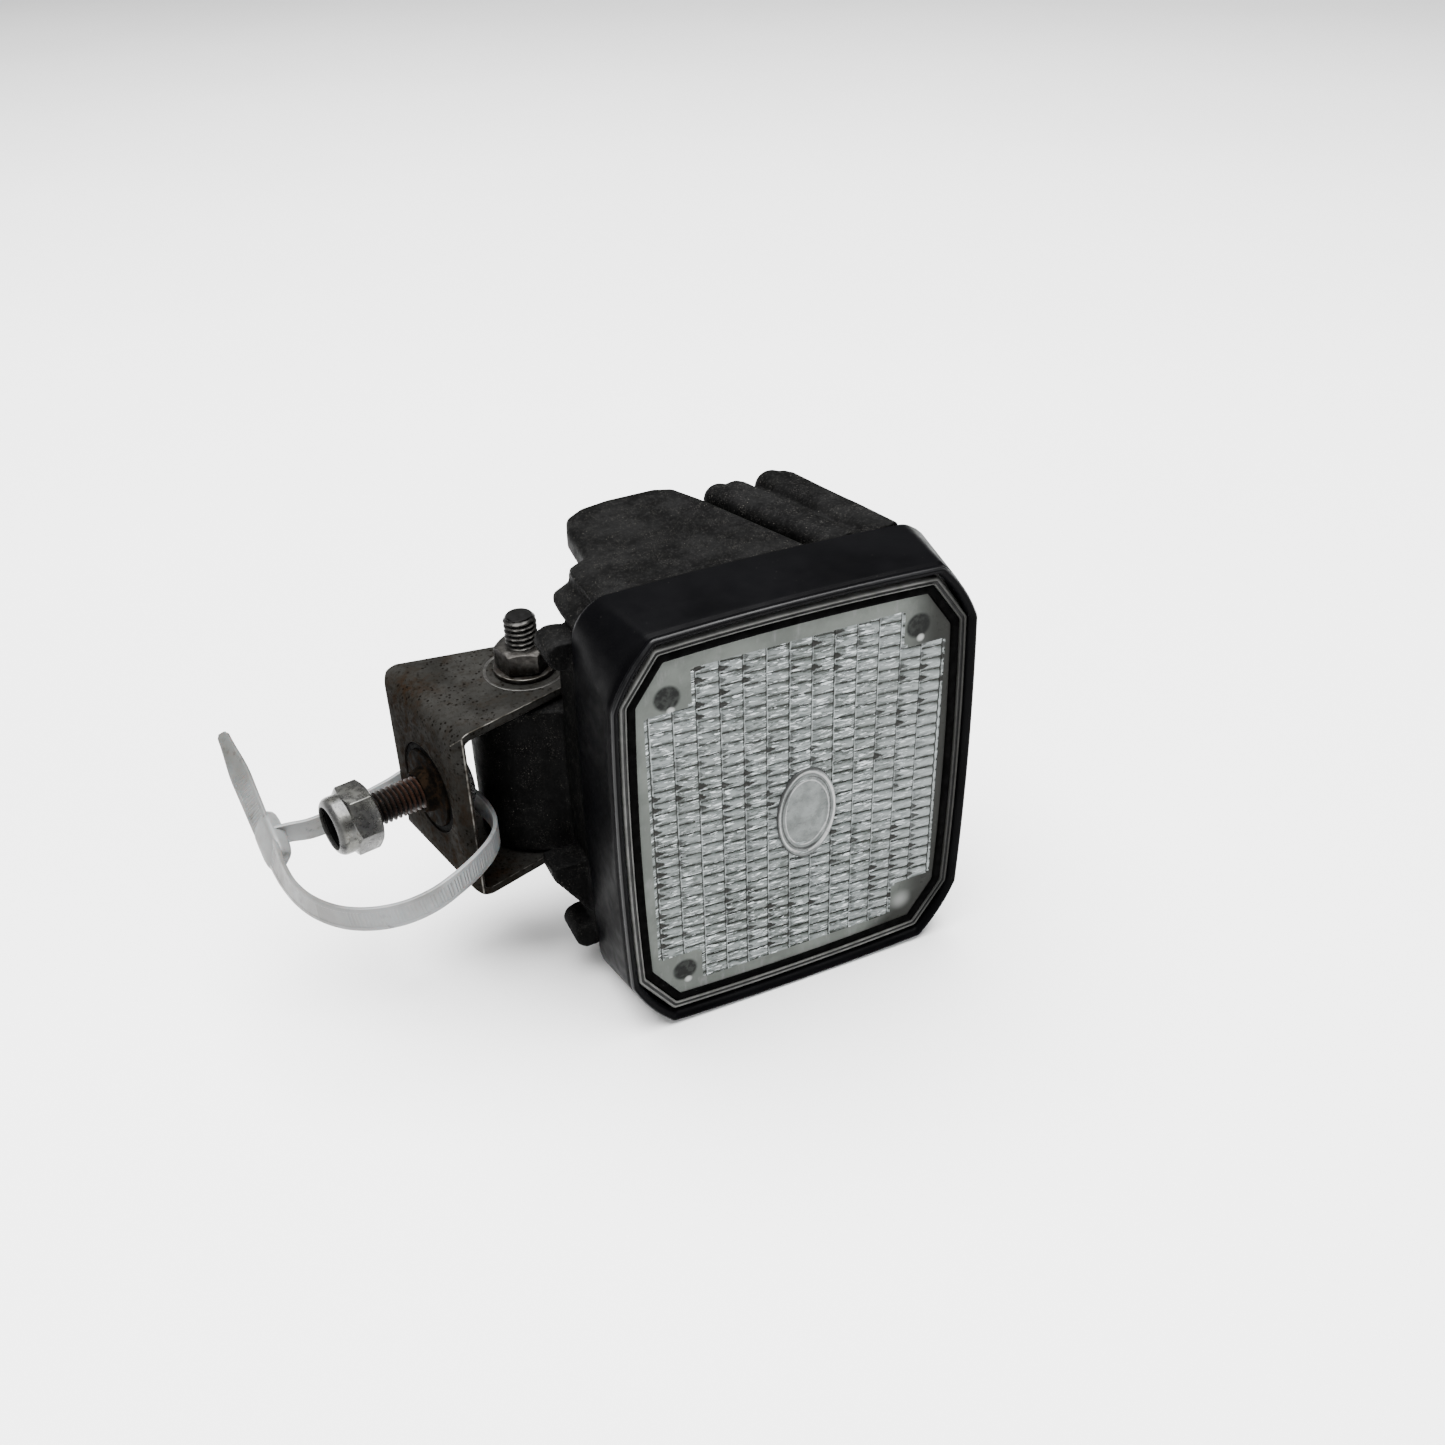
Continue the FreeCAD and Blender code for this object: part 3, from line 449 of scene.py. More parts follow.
def worn_steel(name, rust_places, dark=1.0):
    """Bare grey-brown steel with fine dark specks and rust that gathers round the stated places."""
    f = Finish(name, IOR=1.4, Specular_IOR_Level=0.003)
    cloud = f.patches(0.33, 0.68, 12, 6, 0.62)
    low, high = 0.0088 * dark, 0.0165 * dark
    base = f.mix(cloud, (low * 1.02, low, low * 0.92), (high * 1.02, high, high * 0.93))
    stain = f.patches(0.52, 0.70, 4.5, 5, 0.6, shift=2)
    base = f.over(base, (0.0085, 0.0062, 0.0042), stain, 0.5)
    near = 0.0
    for centre, reach in rust_places:
        near = f.math("MAXIMUM", near, f.step(f.distance(centre), reach, reach * 0.35))
    base = f.over(base, (0.0068 * dark, 0.0056 * dark, 0.0042 * dark), near, 0.55)
    rust = f.times(near, f.patches(0.46, 0.62, 3.2, 7, 0.68, shift=6))
    base = f.over(base, (0.0095, 0.0058, 0.0034), rust, 0.85)
    mottle = f.patches(0.50, 0.62, 1.5, 6, 0.72, shift=11)
    base = f.mix(f.times(mottle, f.math("ADD", 0.35, f.times(near, 0.3))), base,
                 (0.0042, 0.0032, 0.0020))
    grit = f.patches(0.60, 0.68, 0.55, 3, 0.6, shift=19)
    specks = f.math("MAXIMUM", f.step(f.cells(1.6), 0.30, 0.20), grit)
    specks = f.times(specks, f.patches(0.34, 0.52, 6, 3, shift=4))
    f.colour(f.over(base, (0.0018, 0.0014, 0.0010), specks, 0.9))
    smooth = f.step(f.noise(2.4, 5, shift=8), 0.3, 0.7, 0.42, 0.62)
    f.rough(f.math("ADD", smooth, f.times(rust, 0.25)))
    pits = f.minus(f.noise(0.8, 4), f.times(specks, 0.8))
    f.bump(pits, 0.02)
    return f.material


def worn_edge():
    f = Finish("worn_edge", IOR=1.4, Specular_IOR_Level=0.003)
    patch = f.patches(0.36, 0.62, 3.0, 5)
    base = f.mix(patch, (0.015, 0.0135, 0.011), (0.075, 0.072, 0.066))
    hub = f.step(f.distance(GROMMET_CENTRE), 21, 17)
    f.colour(f.mix(hub, base, (0.004, 0.0034, 0.0028)))
    f.put(f.times(f.minus(1.0, hub), 0.9), f.shader.inputs["Metallic"])
    f.rough_between(0.28, 0.45, 1.5, 4)
    return f.material


def bright_zinc(name="bright_zinc", low=0.062, high=0.115, grime=0.35):
    """Zinc plate with fine scratches and grime in patches."""
    f = Finish(name, Specular_IOR_Level=0.1)
    sheen = f.patches(0.32, 0.68, 7.0, 3)
    base = f.mix(sheen, grey(low), grey(high, (0.0, 0.0, -0.01)))
    dirt = f.times(f.patches(0.57, 0.66, 2.2, 6, 0.7, shift=3), grime)
    base = f.mix(dirt, base, (0.030, 0.022, 0.015))
    across = f.patches(0.60, 0.68, 0.35, 3, 0.6, (6, 1, 0.5))
    along = f.patches(0.62, 0.69, 0.35, 3, 0.6, (0.6, 5, 1), shift=4)
    collar = f.step(f.axis(0), COLLAR_X + 0.6, COLLAR_X - 0.4, 0.0, 0.8)
    f.put(f.minus(0.95, f.times(collar, 0.7)), f.shader.inputs["Metallic"])
    base = f.mix(collar, base, grey(0.024))
    scratch = f.math("MAXIMUM", across, along)
    scratch = f.times(scratch, f.patches(0.46, 0.60, 3.0, 2, shift=9))
    f.colour(f.over(base, (0.05, 0.045, 0.04), scratch, 0.6))
    f.rough(f.math("ADD", f.step(f.noise(1.4, 4, shift=5), 0.3, 0.7, 0.22, 0.38), f.times(dirt, 0.4)))
    f.bump(f.minus(f.noise(1.0, 4), scratch), 0.02)
    return f.material


def dirty_zinc():
    """Dull zinc plate, browner towards the bracket's flange."""
    f = Finish("dirty_zinc", Metallic=0.8)
    base = f.mix(f.patches(0.32, 0.68, 2.6, 5), (0.011, 0.010, 0.009), (0.036, 0.034, 0.031))
    low = f.step(f.math("ABSOLUTE", f.axis(2)), 40, 29)
    brown = f.times(low, f.patches(0.38, 0.60, 2.0, 6, 0.66, shift=3))
    f.colour(f.mix(brown, base, (0.009, 0.0065, 0.0045)))
    f.rough_between(0.30, 0.52, 1.2, 4, shift=6)
    f.bump(f.noise(0.7, 4), 0.025)
    return f.material


def grime_in_thread(f, colour, centre, squash, groove, crest):
    """Darken a thread's colour where it lies nearer to its axis than its crests."""
    out = f.step(f.distance(centre, squash), groove, crest)
    return f.mix(out, (0.0011, 0.0009, 0.0008), colour)


def stud_metal():
    """Steel stud with oily grime in its thread."""
    f = Finish("stud_metal", Metallic=0.8)
    base = f.mix(f.patches(0.32, 0.68, 1.6, 5), (0.008, 0.0076, 0.007), (0.034, 0.0325, 0.030))
    f.colour(grime_in_thread(f, base, PIVOT, (1, 1, 0), STUD_R - 1.0, STUD_R - 0.2))
    f.rough_between(0.28, 0.48, 1.2, 4, shift=6)
    f.bump(f.noise(0.6, 4), 0.04)
    return f.material


def rusty_thread():
    """Bolt steel: red-brown rust next to the bracket, dark brown towards the nut."""
    f = Finish("rusty_thread", Metallic=0.25, Specular_IOR_Level=0.1)
    along = f.step(f.axis(0), -13.0, -2.0)
    base = f.mix(along, (0.0046, 0.0032, 0.0024), (0.017, 0.0070, 0.0038))
    light = f.patches(0.54, 0.68, 1.1, 6, 0.7)
    base = f.over(base, (0.045, 0.026, 0.016), light, 0.55)
    dark = f.patches(0.50, 0.66, 1.8, 5, 0.66, shift=4)
    base = f.over(base, (0.0022, 0.0016, 0.0013), dark, 0.8)
    f.colour(grime_in_thread(f, base, (0, 0, 0), (0, 1, 1), BOLT_R - 0.95, BOLT_R - 0.25))
    f.rough_between(0.45, 0.72, 0.9, 4, shift=7)
    f.bump(f.noise(0.5, 5, 0.65), 0.07)
    return f.material


def rubber(name="seal_rubber", shade=0.0008):
    f = Finish(name, IOR=1.4, Specular_IOR_Level=0.006)
    base = f.mix(f.patches(0.35, 0.65, 3, 5), grey(shade), grey(shade * 2.4))
    dust = f.times(f.patches(0.58, 0.70, 0.9, 5, 0.7, shift=3), 0.5)
    f.colour(f.mix(dust, base, (0.0045, 0.0042, 0.0038)))
    f.rough_between(0.55, 0.75, 2, 4, shift=5)
    f.bump(f.noise(0.6, 4), 0.03)
    return f.material


def white_nylon():
    f = Finish("white_nylon", Subsurface_Weight=0.15, Subsurface_Scale=0.002, Specular_IOR_Level=0.4)
    base = f.mix(f.patches(0.35, 0.68, 18, 3), (0.150, 0.156, 0.158), (0.085, 0.086, 0.082))
    dirt = f.patches(0.50, 0.70, 2.2, 7, 0.7, shift=3)
    dirt = f.times(dirt, f.patches(0.42, 0.60, 12, 3, shift=8))
    base = f.over(base, (0.022, 0.019, 0.015), dirt, 0.7)
    specks = f.step(f.cells(3.1), 0.05, 0.03)
    # Painted shade: the band turns darker towards its tail on the left.
    tail_shade = f.step(f.axis(0), -22.0, -38.0, 0.0, 0.45)
    base = f.mix(tail_shade, base, (0.045, 0.043, 0.038))
    f.colour(f.over(base, (0.03, 0.024, 0.018), specks, 0.7))
    f.rough_between(0.34, 0.48, 3, 4, shift=5)
    f.bump(f.noise(1.6, 3), 0.02)
    return f.material


def grey_frame():
    """Dull light-grey moulding round the lens, darkened towards its right side as painted shade."""
    f = Finish("grey_frame", IOR=1.4, Specular_IOR_Level=0.10)
    base = f.mix(f.patches(0.35, 0.66, 5, 5, 0.6), (0.060, 0.061, 0.058), (0.095, 0.096, 0.092))
    dirt = f.patches(0.60, 0.72, 0.9, 6, 0.7, shift=3)
    base = f.over(base, (0.022, 0.021, 0.019), dirt, 0.7)
    # Painted shade: darker towards the lamp head's right side.
    f.colour(f.mix(right_side_shade(f, 0.85), base, (0.012, 0.012, 0.011)))
    f.rough_between(0.40, 0.58, 2, 4, shift=6)
    f.bump(f.noise(0.8, 4), 0.02)
    return f.material


def groove_grey():
    f = Finish("groove_grey", IOR=1.4, Specular_IOR_Level=0.10)
    base = f.mix(f.patches(0.35, 0.66, 4, 5, 0.6), (0.016, 0.0165, 0.016), (0.027, 0.0275, 0.027))
    # Painted shade: darker towards the lamp head's right side.
    f.colour(f.mix(right_side_shade(f, 0.7), base, grey(0.0045)))
    f.rough_between(0.45, 0.6, 2, 4, shift=6)
    f.bump(f.noise(0.8, 4), 0.02)
    return f.material


def pressed_glass():
    """Pressed glass of the flutes, its light painted into the colour: each cell darkens to a teardrop of
    painted shade where its wedge steps down, with painted highlights, shade lines and streaks along the
    flutes.
    """
    f = Finish("pressed_glass", IOR=1.5, Specular_IOR_Level=0.06, Transmission_Weight=0.05)
    column, u, row, v = lens_cells(f)
    cell = f.node("ShaderNodeCombineXYZ", {0: column, 1: row, 2: 0.0}).outputs[0]
    chance = f.node("ShaderNodeTexWhiteNoise", {"Vector": cell}, noise_dimensions="3D").outputs["Value"]
    # Painted shade: a dark teardrop in each cell where its wedge steps down.
    across = f.gap(v, 0.5)
    reach = f.math("ADD", f.times(chance, 0.35), 0.30)
    wobble = f.times(f.minus(f.noise(0.8, 3, shift=31), 0.5), 0.35)
    width = f.times(f.minus(1.0, f.math("DIVIDE", u, reach)), 0.42)
    drop = f.step(f.math("ADD", f.minus(width, across), wobble), 0.0, 0.16)
    right = f.step(f.axis(0), 95, 130)
    patch = f.step(f.minus(f.noise(22, 2, shift=3), f.times(right, 0.10)), 0.40, 0.54, 0.12, 1.0)
    drop = f.times(f.times(drop, patch), f.step(chance, 0.0, 0.6, 0.6, 1.0))
    # Painted shade and highlight that roll across each flute, lighter in its middle and darker at its
    # edges.
    bow = f.times(f.math("POWER", f.gap(u, 0.4), 2.0), 0.6)
    bowed = f.math("ADD", v, bow)
    roll = f.times(f.step(bowed, 0.08, 0.42), f.step(bowed, 1.12, 0.70))
    rolled = f.mix(roll, (0.028, 0.032, 0.029), (0.215, 0.235, 0.235))
    # Painted shade: dark lines at the columns' steps and along the flutes' creases.
    seam_shade = f.step(f.gap(u, 0.5), 0.452, 0.475)
    crease_shade = f.step(f.math("ADD", across, f.times(f.noise(1.8, 3, 0.6), 0.2)), 0.515, 0.56)
    # Painted reflections: dark streaks and bright glints in the glass, calmer towards the right.
    streak = f.patches(0.50, 0.60, 0.60, 4, 0.65, (0.18, 0.18, 1.0), shift=6)
    glint = f.patches(0.58, 0.62, 0.52, 3, 0.6, (0.16, 0.16, 1.0), shift=14)
    tone = f.mix(f.patches(0.35, 0.65, 24, 2, shift=21), (0.060, 0.069, 0.062), (0.125, 0.140, 0.138))
    tone = f.mix(f.math("ADD", 0.50, f.times(right, 0.38)), tone, rolled)
    calm = f.minus(1.0, f.times(right, 0.70))
    tone = f.mix(f.times(f.times(streak, calm), 0.62), tone, (0.020, 0.023, 0.019))
    tone = f.mix(f.times(f.times(glint, calm), 0.8), tone, (0.62, 0.66, 0.67))
    tone = f.over(tone, (0.006, 0.0065, 0.004), crease_shade, 0.85)
    # Painted highlight: a bright line along each column's lip.
    lip = f.times(f.step(f.gap(u, 0.06), 0.035, 0.02), 0.45)
    tone = f.mix(lip, tone, (0.34, 0.37, 0.37))
    tone = f.over(tone, (0.008, 0.009, 0.007), seam_shade, 0.85)
    # The painted shade of the teardrops is laid over the colour here.
    f.colour(f.over(tone, (0.0022, 0.0020, 0.0006), drop, 0.96))
    f.rough_between(0.10, 0.22, 2.5, 4)
    f.bump(f.math("ADD", streak, glint), 0.05)
    return f.material


def right_side_shade(f, part):
    """A value that rises from 0 to part towards the lamp head's right edge, for painted shade there."""
    across = f.math("DIVIDE", in_head(f).outputs[0], MM)
    return f.step(across, 30, 48, 0.0, part)


def in_head(f):
    """The node that splits the place into the lamp head's own coordinates, in metres."""
    turned = f.node("ShaderNodeMapping", {"Vector": f.place, "Rotation": (0, 0, math.radians(HEAD_YAW)),
                                          "Location": HEAD.translation}, vector_type="TEXTURE").outputs[0]
    return f.node("ShaderNodeSeparateXYZ", {0: turned})


def lens_cells(f):
    """Column and row numbers of the lens's flutes, and the place (0 to 1) within the cell."""
    split = in_head(f)
    across = f.math("DIVIDE", f.minus(split.outputs[0], FIELD_LEFT * MM), COLUMN * MM)
    column = f.math("FLOOR", across)
    odd = f.math("PINGPONG", column, 1.0)
    tall = f.math("DIVIDE", f.minus(split.outputs[2], FIELD_LOW * MM), ROW_TALL * MM)
    tall = f.math("ADD", tall, f.times(odd, ROW_SHIFT))
    row = f.math("FLOOR", tall)
    return column, f.minus(across, column), row, f.minus(tall, row)


def frosted_glass():
    """Milky glass of the lens's border, darker towards its right side and lower right corner as painted
    shade.

    Three corners have a dark post with a small painted glint below it, the lower right one has a pale patch
    of painted highlight.
    """
    shade = 0.070
    f = Finish("frosted_glass", IOR=1.5, Specular_IOR_Level=0.03)
    low, high = grey(shade, (0, 0.006, 0)), grey(shade * 1.35, (0, 0.008, 0))
    base = f.mix(f.patches(0.35, 0.65, 14, 4), low, high)
    streak = f.patches(0.55, 0.72, 2.4, 4, 0.6, (1, 1, 0.3), shift=4)
    base = f.over(base, grey(shade * 1.9), streak, 0.4)
    place = in_head(f)
    low = f.math("MAXIMUM", 0.0, f.minus(f.math("DIVIDE", place.outputs[2], -MM), 47.0))
    side = f.math("ADD", f.math("DIVIDE", place.outputs[0], MM), f.times(low, 1.2))
    # Painted shade: darker towards the right side and the lower edge there.
    base = f.mix(f.step(side, 29.0, 43.0, 0.0, 0.92), base, (0.0105, 0.0105, 0.0095))
    dark, bright = 0.0, 0.0
    for x, z in DIMPLE_AT:
        here = HEAD @ Vector((x, LENS_FRONT, z)) / MM
        spot = HEAD @ Vector((x + 0.9, LENS_FRONT, z - 4.0)) / MM
        if x > 0 and z < 0:
            bright = f.math("MAXIMUM", bright, f.step(f.distance(here), DIMPLE_R + 0.6, 0.0, 0.0, 0.5))
            continue
        dark = f.math("MAXIMUM", dark, f.step(f.distance(here), DIMPLE_R + 0.3, DIMPLE_R - 0.9))
        bright = f.math("MAXIMUM", bright, f.step(f.distance(spot), 1.5, 0.5))
    dark = f.times(dark, f.step(f.noise(1.6, 4, 0.6, shift=7), 0.35, 0.60, 0.78, 0.97))
    base = f.mix(dark, base, (0.0060, 0.0064, 0.0062))
    # Painted highlights: the glints below the posts and the pale patch at the lower right.
    base = f.over(base, (0.30, 0.31, 0.30), bright, 0.8)
    specks = f.times(f.step(f.cells(7.0), 0.055, 0.04), f.patches(0.50, 0.52, 21, 1, shift=2))
    f.colour(f.mix(specks, base, (0.004, 0.004, 0.004)))
    f.rough_between(0.24, 0.40, 4, 4)
    f.bump(f.noise(2.2, 3), 0.02)
    return f.material


def medallion_glass():
    """Milky glass of the oval: a painted highlight along each of its two rims, with a line of painted shade
    outside it.
    """
    f = Finish("medallion_glass", IOR=1.5, Specular_IOR_Level=0.12, Transmission_Weight=0.04)
    base = f.mix(f.patches(0.35, 0.65, 5, 5, 0.6), (0.080, 0.088, 0.085), (0.135, 0.146, 0.143))
    centre = HEAD @ Vector((OVAL_AT[0], LENS_FRONT, OVAL_AT[1])) / MM
    away = f.distance(centre, (1 / OVAL[0], 0, 1 / OVAL[1]))
    # Painted highlights and painted shade along the rims.
    for at, half, shade in MEDALLION_PAINTED_LINES:
        line = f.step(f.gap(away, at), half, half * 0.4)
        base = f.over(base, grey(shade), line, 0.85)
    scuff = f.patches(0.55, 0.68, 0.8, 5, 0.65, (0.4, 0.4, 1), shift=5)
    f.colour(f.over(base, grey(0.045), scuff, 0.5))
    f.rough_between(0.2, 0.36, 3, 4)
    f.bump(f.noise(1.4, 3), 0.02)
    return f.material


MEDALLION_PAINTED_LINES = [(0.98, 0.030, 0.018), (0.90, 0.035, 0.40), (0.81, 0.025, 0.022), (0.72, 0.020, 0.30)]


def mirror_metal():
    """Metallised reflector, a little green-grey with age."""
    f = Finish("mirror_metal", Metallic=1.0)
    haze = f.patches(0.36, 0.68, 11, 5, 0.6)
    f.colour(f.mix(haze, (0.74, 0.77, 0.74), (0.58, 0.61, 0.57)))
    f.rough_between(0.10, 0.24, 6, 4, shift=4)
    f.bump(f.noise(9, 3), 0.03)
    return f.material


def dark_screw():
    f = Finish("dark_screw", Metallic=0.3)
    f.colour(f.mix(f.patches(0.35, 0.65, 2, 4), grey(0.02), grey(0.04)))
    f.rough_between(0.4, 0.6, 1.5, 3)
    return f.material


def clear_quartz():
    f = Finish("clear_quartz", IOR=1.46, Transmission_Weight=1.0)
    f.colour(f.mix(f.patches(0.3, 0.7, 4, 3), grey(0.93), grey(0.98)))
    f.rough_between(0.0, 0.05, 3, 3)
    return f.material


def plain_finish(name, low, high, metallic, rough_low, rough_high, size=3.0):
    """Mottled finish for the small pieces inside the lamp."""
    f = Finish(name, Metallic=metallic)
    f.colour(f.mix(f.patches(0.34, 0.66, size, 5), low, high))
    f.rough_between(rough_low, rough_high, size * 0.6, 4, shift=3)
    f.bump(f.noise(size * 0.25, 3), 0.02)
    return f.material


BEZEL_BLACK = moulded_bezel()
BEZEL_CREST = crest_highlight_finish()
HOUSING_BLACK = moulded_housing()
GROMMET_CENTRE = (4.0, 0, 0)
LOW_CORNER = (4.0, -16, -24)
BRACKET_STEEL = worn_steel("bracket_steel", [(GROMMET_CENTRE, 34), (LOW_CORNER, 24), ((4.0, 10, 22), 15)])
PLATE_STEEL = worn_steel("plate_steel", [(GROMMET_CENTRE, 30)], dark=0.16)
WORN_EDGE = worn_edge()
RUBBED_RING = plain_finish("rubbed_ring", (0.014, 0.013, 0.012), (0.035, 0.034, 0.031), 0.6, 0.3, 0.5, 2.0)
BRIGHT_ZINC = bright_zinc()
DIRTY_ZINC = dirty_zinc()
RUSTY_THREAD = rusty_thread()
STUD_METAL = stud_metal()
RUBBER = rubber()
DARK_NYLON = rubber("dark_nylon", 0.0007)
WHITE_NYLON = white_nylon()
GREY_FRAME = grey_frame()
GROOVE_GREY = groove_grey()
PRESSED_GLASS = pressed_glass()
FROSTED_GLASS = frosted_glass()
CLOUDY_GLASS = medallion_glass()
MIRROR = mirror_metal()
DARK_SCREW = dark_screw()
QUARTZ = clear_quartz()
TUNGSTEN = plain_finish("tungsten", grey(0.30), grey(0.42), 1.0, 0.35, 0.5, 0.8)
BULB_METAL = plain_finish("bulb_metal", (0.42, 0.40, 0.36), (0.58, 0.56, 0.50), 0.9, 0.3, 0.45)
SPRING_STEEL = plain_finish("spring_steel", grey(0.34), grey(0.50), 1.0, 0.25, 0.4, 1.5)
LEAD_BLACK = plain_finish("lead_black", grey(0.012), grey(0.03), 0.0, 0.45, 0.6, 2.0)
TERMINAL = plain_finish("terminal_sleeve", (0.55, 0.52, 0.45), (0.66, 0.63, 0.56), 0.0, 0.3, 0.45, 2.0)


# ---- front of the lamp

def bezel():
    """Deep frame: rolled bead in front, a shallow step behind it, tapering sides and an inner return."""
    profile = [(2.75, 2.4), (2.75, 0.3), (2.5, -0.5), (2.1, -1.0), (1.6, -1.4), (1.15, -1.57),
               (0.8, -1.55), (0.45, -1.3, 0.1), (0.25, -0.85, 0.2), (0.28, -0.1, 0.3),
               (0.55, 0.35, 0.4), (0.5, 0.8, 0.4), (0.12, 1.2, 0.5), (0.0, 1.9, 0.5),
               (0.0, 3.4, 0.5), (0.0, 14.0, 0.5), (0.0, 24.6, 0.5), (0.25, 25.6, 0.5),
               (0.8, 26.0, 0.5), (2.0, 25.9, 0.4), (2.35, 25.2, 0.3), (2.35, 4.0, 0.2), (2.6, 2.4)]
    mesh = ring_body("bezel_shell", profile, BEZEL, BEZEL_CUT, HEAD, 0.8, BEZEL_REAR_CUT, 3.2)
    count = len(outline(BEZEL, BEZEL_CUT, 0))
    made = add_piece("bezel_shell", mesh, "head", [BEZEL_BLACK, BEZEL_CREST], ["bezel"], 50)
    paint_bands(made, count, {6: 1, 7: 1})
    return made


def paint_bands(piece, count, bands):
    """Give whole bands of a lofted ring (by their place in its profile) a material of their own."""
    for polygon in piece.data.polygons:
        polygon.material_index = bands.get(polygon.index // count, 0)


def lens_ring():
    """Grey ring: light land, darker groove in its middle, light inner lip."""
    profile = [(0, 2.6), (0, 0.5), (0.12, 0.15), (0.3, 0.0), (0.65, 0.0), (0.8, 0.1), (0.86, 0.5),
               (1.5, 0.5), (1.56, 0.2), (1.65, 0.1), (1.9, 0.1), (2.0, 0.25), (2.05, 0.8),
               (2.05, 3.0), (2.05, 7.4), (-0.8, 7.6), (-0.8, 2.8)]
    mesh = ring_body("lens_ring", profile, RING, RING_CUT, HEAD, 0.6)
    count = len(outline(RING, RING_CUT, 0))
    made = add_piece("lens_ring", mesh, "head", [GREY_FRAME, GROOVE_GREY], ["lens_frame"], 50)
    paint_bands(made, count, {5: 1, 6: 1, 7: 1})
    return made


def lens_seal():
    """Black rubber ring between the grey ring and the glass."""
    profile = [(2.1, 3.9), (2.1, 0.8), (2.3, 0.5), (2.9, 0.30), (3.7, 0.22), (4.2, 0.28),
               (4.5, 0.55), (4.55, 1.0), (4.4, 1.02), (4.0, 1.02), (4.0, 3.9)]
    mesh = ring_body("lens_seal", profile, RING, RING_CUT, HEAD, 0.6)
    return add_piece("lens_seal", mesh, "head", [RUBBER], ["lens_gasket"], 50)


# ---- fluted lens

def smooth_step(low, high, value):
    t = min(1.0, max(0.0, (value - low) / (high - low)))
    return t * t * (3 - 2 * t)


def notch_depth(x, z):
    """How far a point lies inside a corner notch of the field; negative outside."""
    right = FIELD_LEFT + COLUMN * COLUMNS
    across = NOTCH[0] - min(x - FIELD_LEFT, right - x)
    along = NOTCH[1] - min(z - FIELD_LOW, FIELD_HIGH - z)
    if across > 0 and along > 0:
        return min(across, along, math.hypot(across, along) - 2.2 + min(across, along) * 0.3)
    return -1.0


def flute_height(column, u, z, tilt, swell):
    """Height of the flutes over the field's floor: ridges across, each a wedge that steps at its column."""
    v = ((z - FIELD_LOW) / ROW_TALL + ROW_SHIFT * (column % 2)) % 1.0
    ridge = 1 - (2 * v - 1) ** 2
    ends = 1 - 0.4 * abs(2 * u - 1) ** 3
    return swell * ridge * ends + tilt * u


def lens_grid():
    """Lines of the lens's grid: (column, u, x), with two lines at each column's edge for the step."""
    lines = [(None, 0, -LENS[0] - 0.8), (None, 0, -45.6), (None, 0, -44.4)]
    for column in range(COLUMNS):
        for step in range(COLUMN_STEPS + 1):
            u = step / COLUMN_STEPS
            lines.append((column, u, FIELD_LEFT + COLUMN * (column + u)))
    return lines + [(None, 0, 45.2), (None, 0, 46.2), (None, 0, LENS[0] + 0.8)]


def lens_rows():
    pitch = ROW_TALL / ROW_STEPS
    count = round((FIELD_HIGH - FIELD_LOW) / pitch)
    field = [FIELD_LOW + (FIELD_HIGH - FIELD_LOW) * i / count for i in range(count + 1)]
    return [-LENS[1] - 0.8, -56.2, -55.0, -54.2] + field + [53.2, 54.4, 56.0, LENS[1] + 0.8]


def lens_surface():
    """Front points of the lens, the kind of glass of each face, and the grid's size."""
    chance = random.Random(7)
    columns = [(chance.uniform(0.25, 0.45), chance.uniform(0.55, 0.8)) for _ in range(COLUMNS)]
    lines, rows = lens_grid(), lens_rows()
    points, kinds = [], []
    for column, u, x in lines:
        for z in rows:
            inside = column is not None and FIELD_LOW < z < FIELD_HIGH and notch_depth(x, z) <= 0
            height = -0.75 + flute_height(column, u, z, *columns[column]) if inside else 0.0
            points.append(Vector((x, LENS_FRONT - height, z)))
            kinds.append(0 if inside else 1)
    return points, kinds, len(lines), len(rows)


def lens():
    """Pressed glass: flutes and a smooth border in front, flat behind, cut to its outline."""
    points, kinds, across, tall = lens_surface()
    faces, face_kinds = [], []
    for i in range(across - 1):
        for j in range(tall - 1):
            a = i * tall + j
            faces.append((a, a + 1, a + tall + 1, a + tall))
            corners = (kinds[a], kinds[a + 1], kinds[a + tall], kinds[a + tall + 1])
            face_kinds.append(1 if sum(corners) > 2 else 0)
    rim = [j for j in range(tall)] + [i * tall + tall - 1 for i in range(1, across)]
    rim += [(across - 1) * tall + j for j in range(tall - 2, -1, -1)]
    rim += [i * tall for i in range(across - 2, 0, -1)]
    start = len(points)
    points += [Vector((points[i].x, LENS_BACK, points[i].z)) for i in rim]
    for k in range(len(rim)):
        following = (k + 1) % len(rim)
        faces.append((rim[k], rim[following], start + following, start + k))
        face_kinds.append(1)
    faces.append(tuple(range(start, start + len(rim))))
    face_kinds.append(1)
    slab = mesh_from("lens_slab", points, faces, HEAD, face_kinds)
    glass = [PRESSED_GLASS, FROSTED_GLASS]
    for material in glass:
        slab.materials.append(material)
    cutter = [outline(LENS, LENS_CUT, y, 0.8) for y in (-3.0, 9.0)]
    cutter = scratch_object(mesh_from("lens_cutter", *loft(cutter), HEAD))
    body = scratch_object(slab)
    trim = body.modifiers.new("trim", "BOOLEAN")
    trim.operation = "INTERSECT"
    trim.object = cutter
    trim.solver = "EXACT"
    mesh = evaluated(body)
    bpy.data.objects.remove(cutter)
    return add_piece("fluted_lens", mesh, "head", glass, ["lens"], 40)


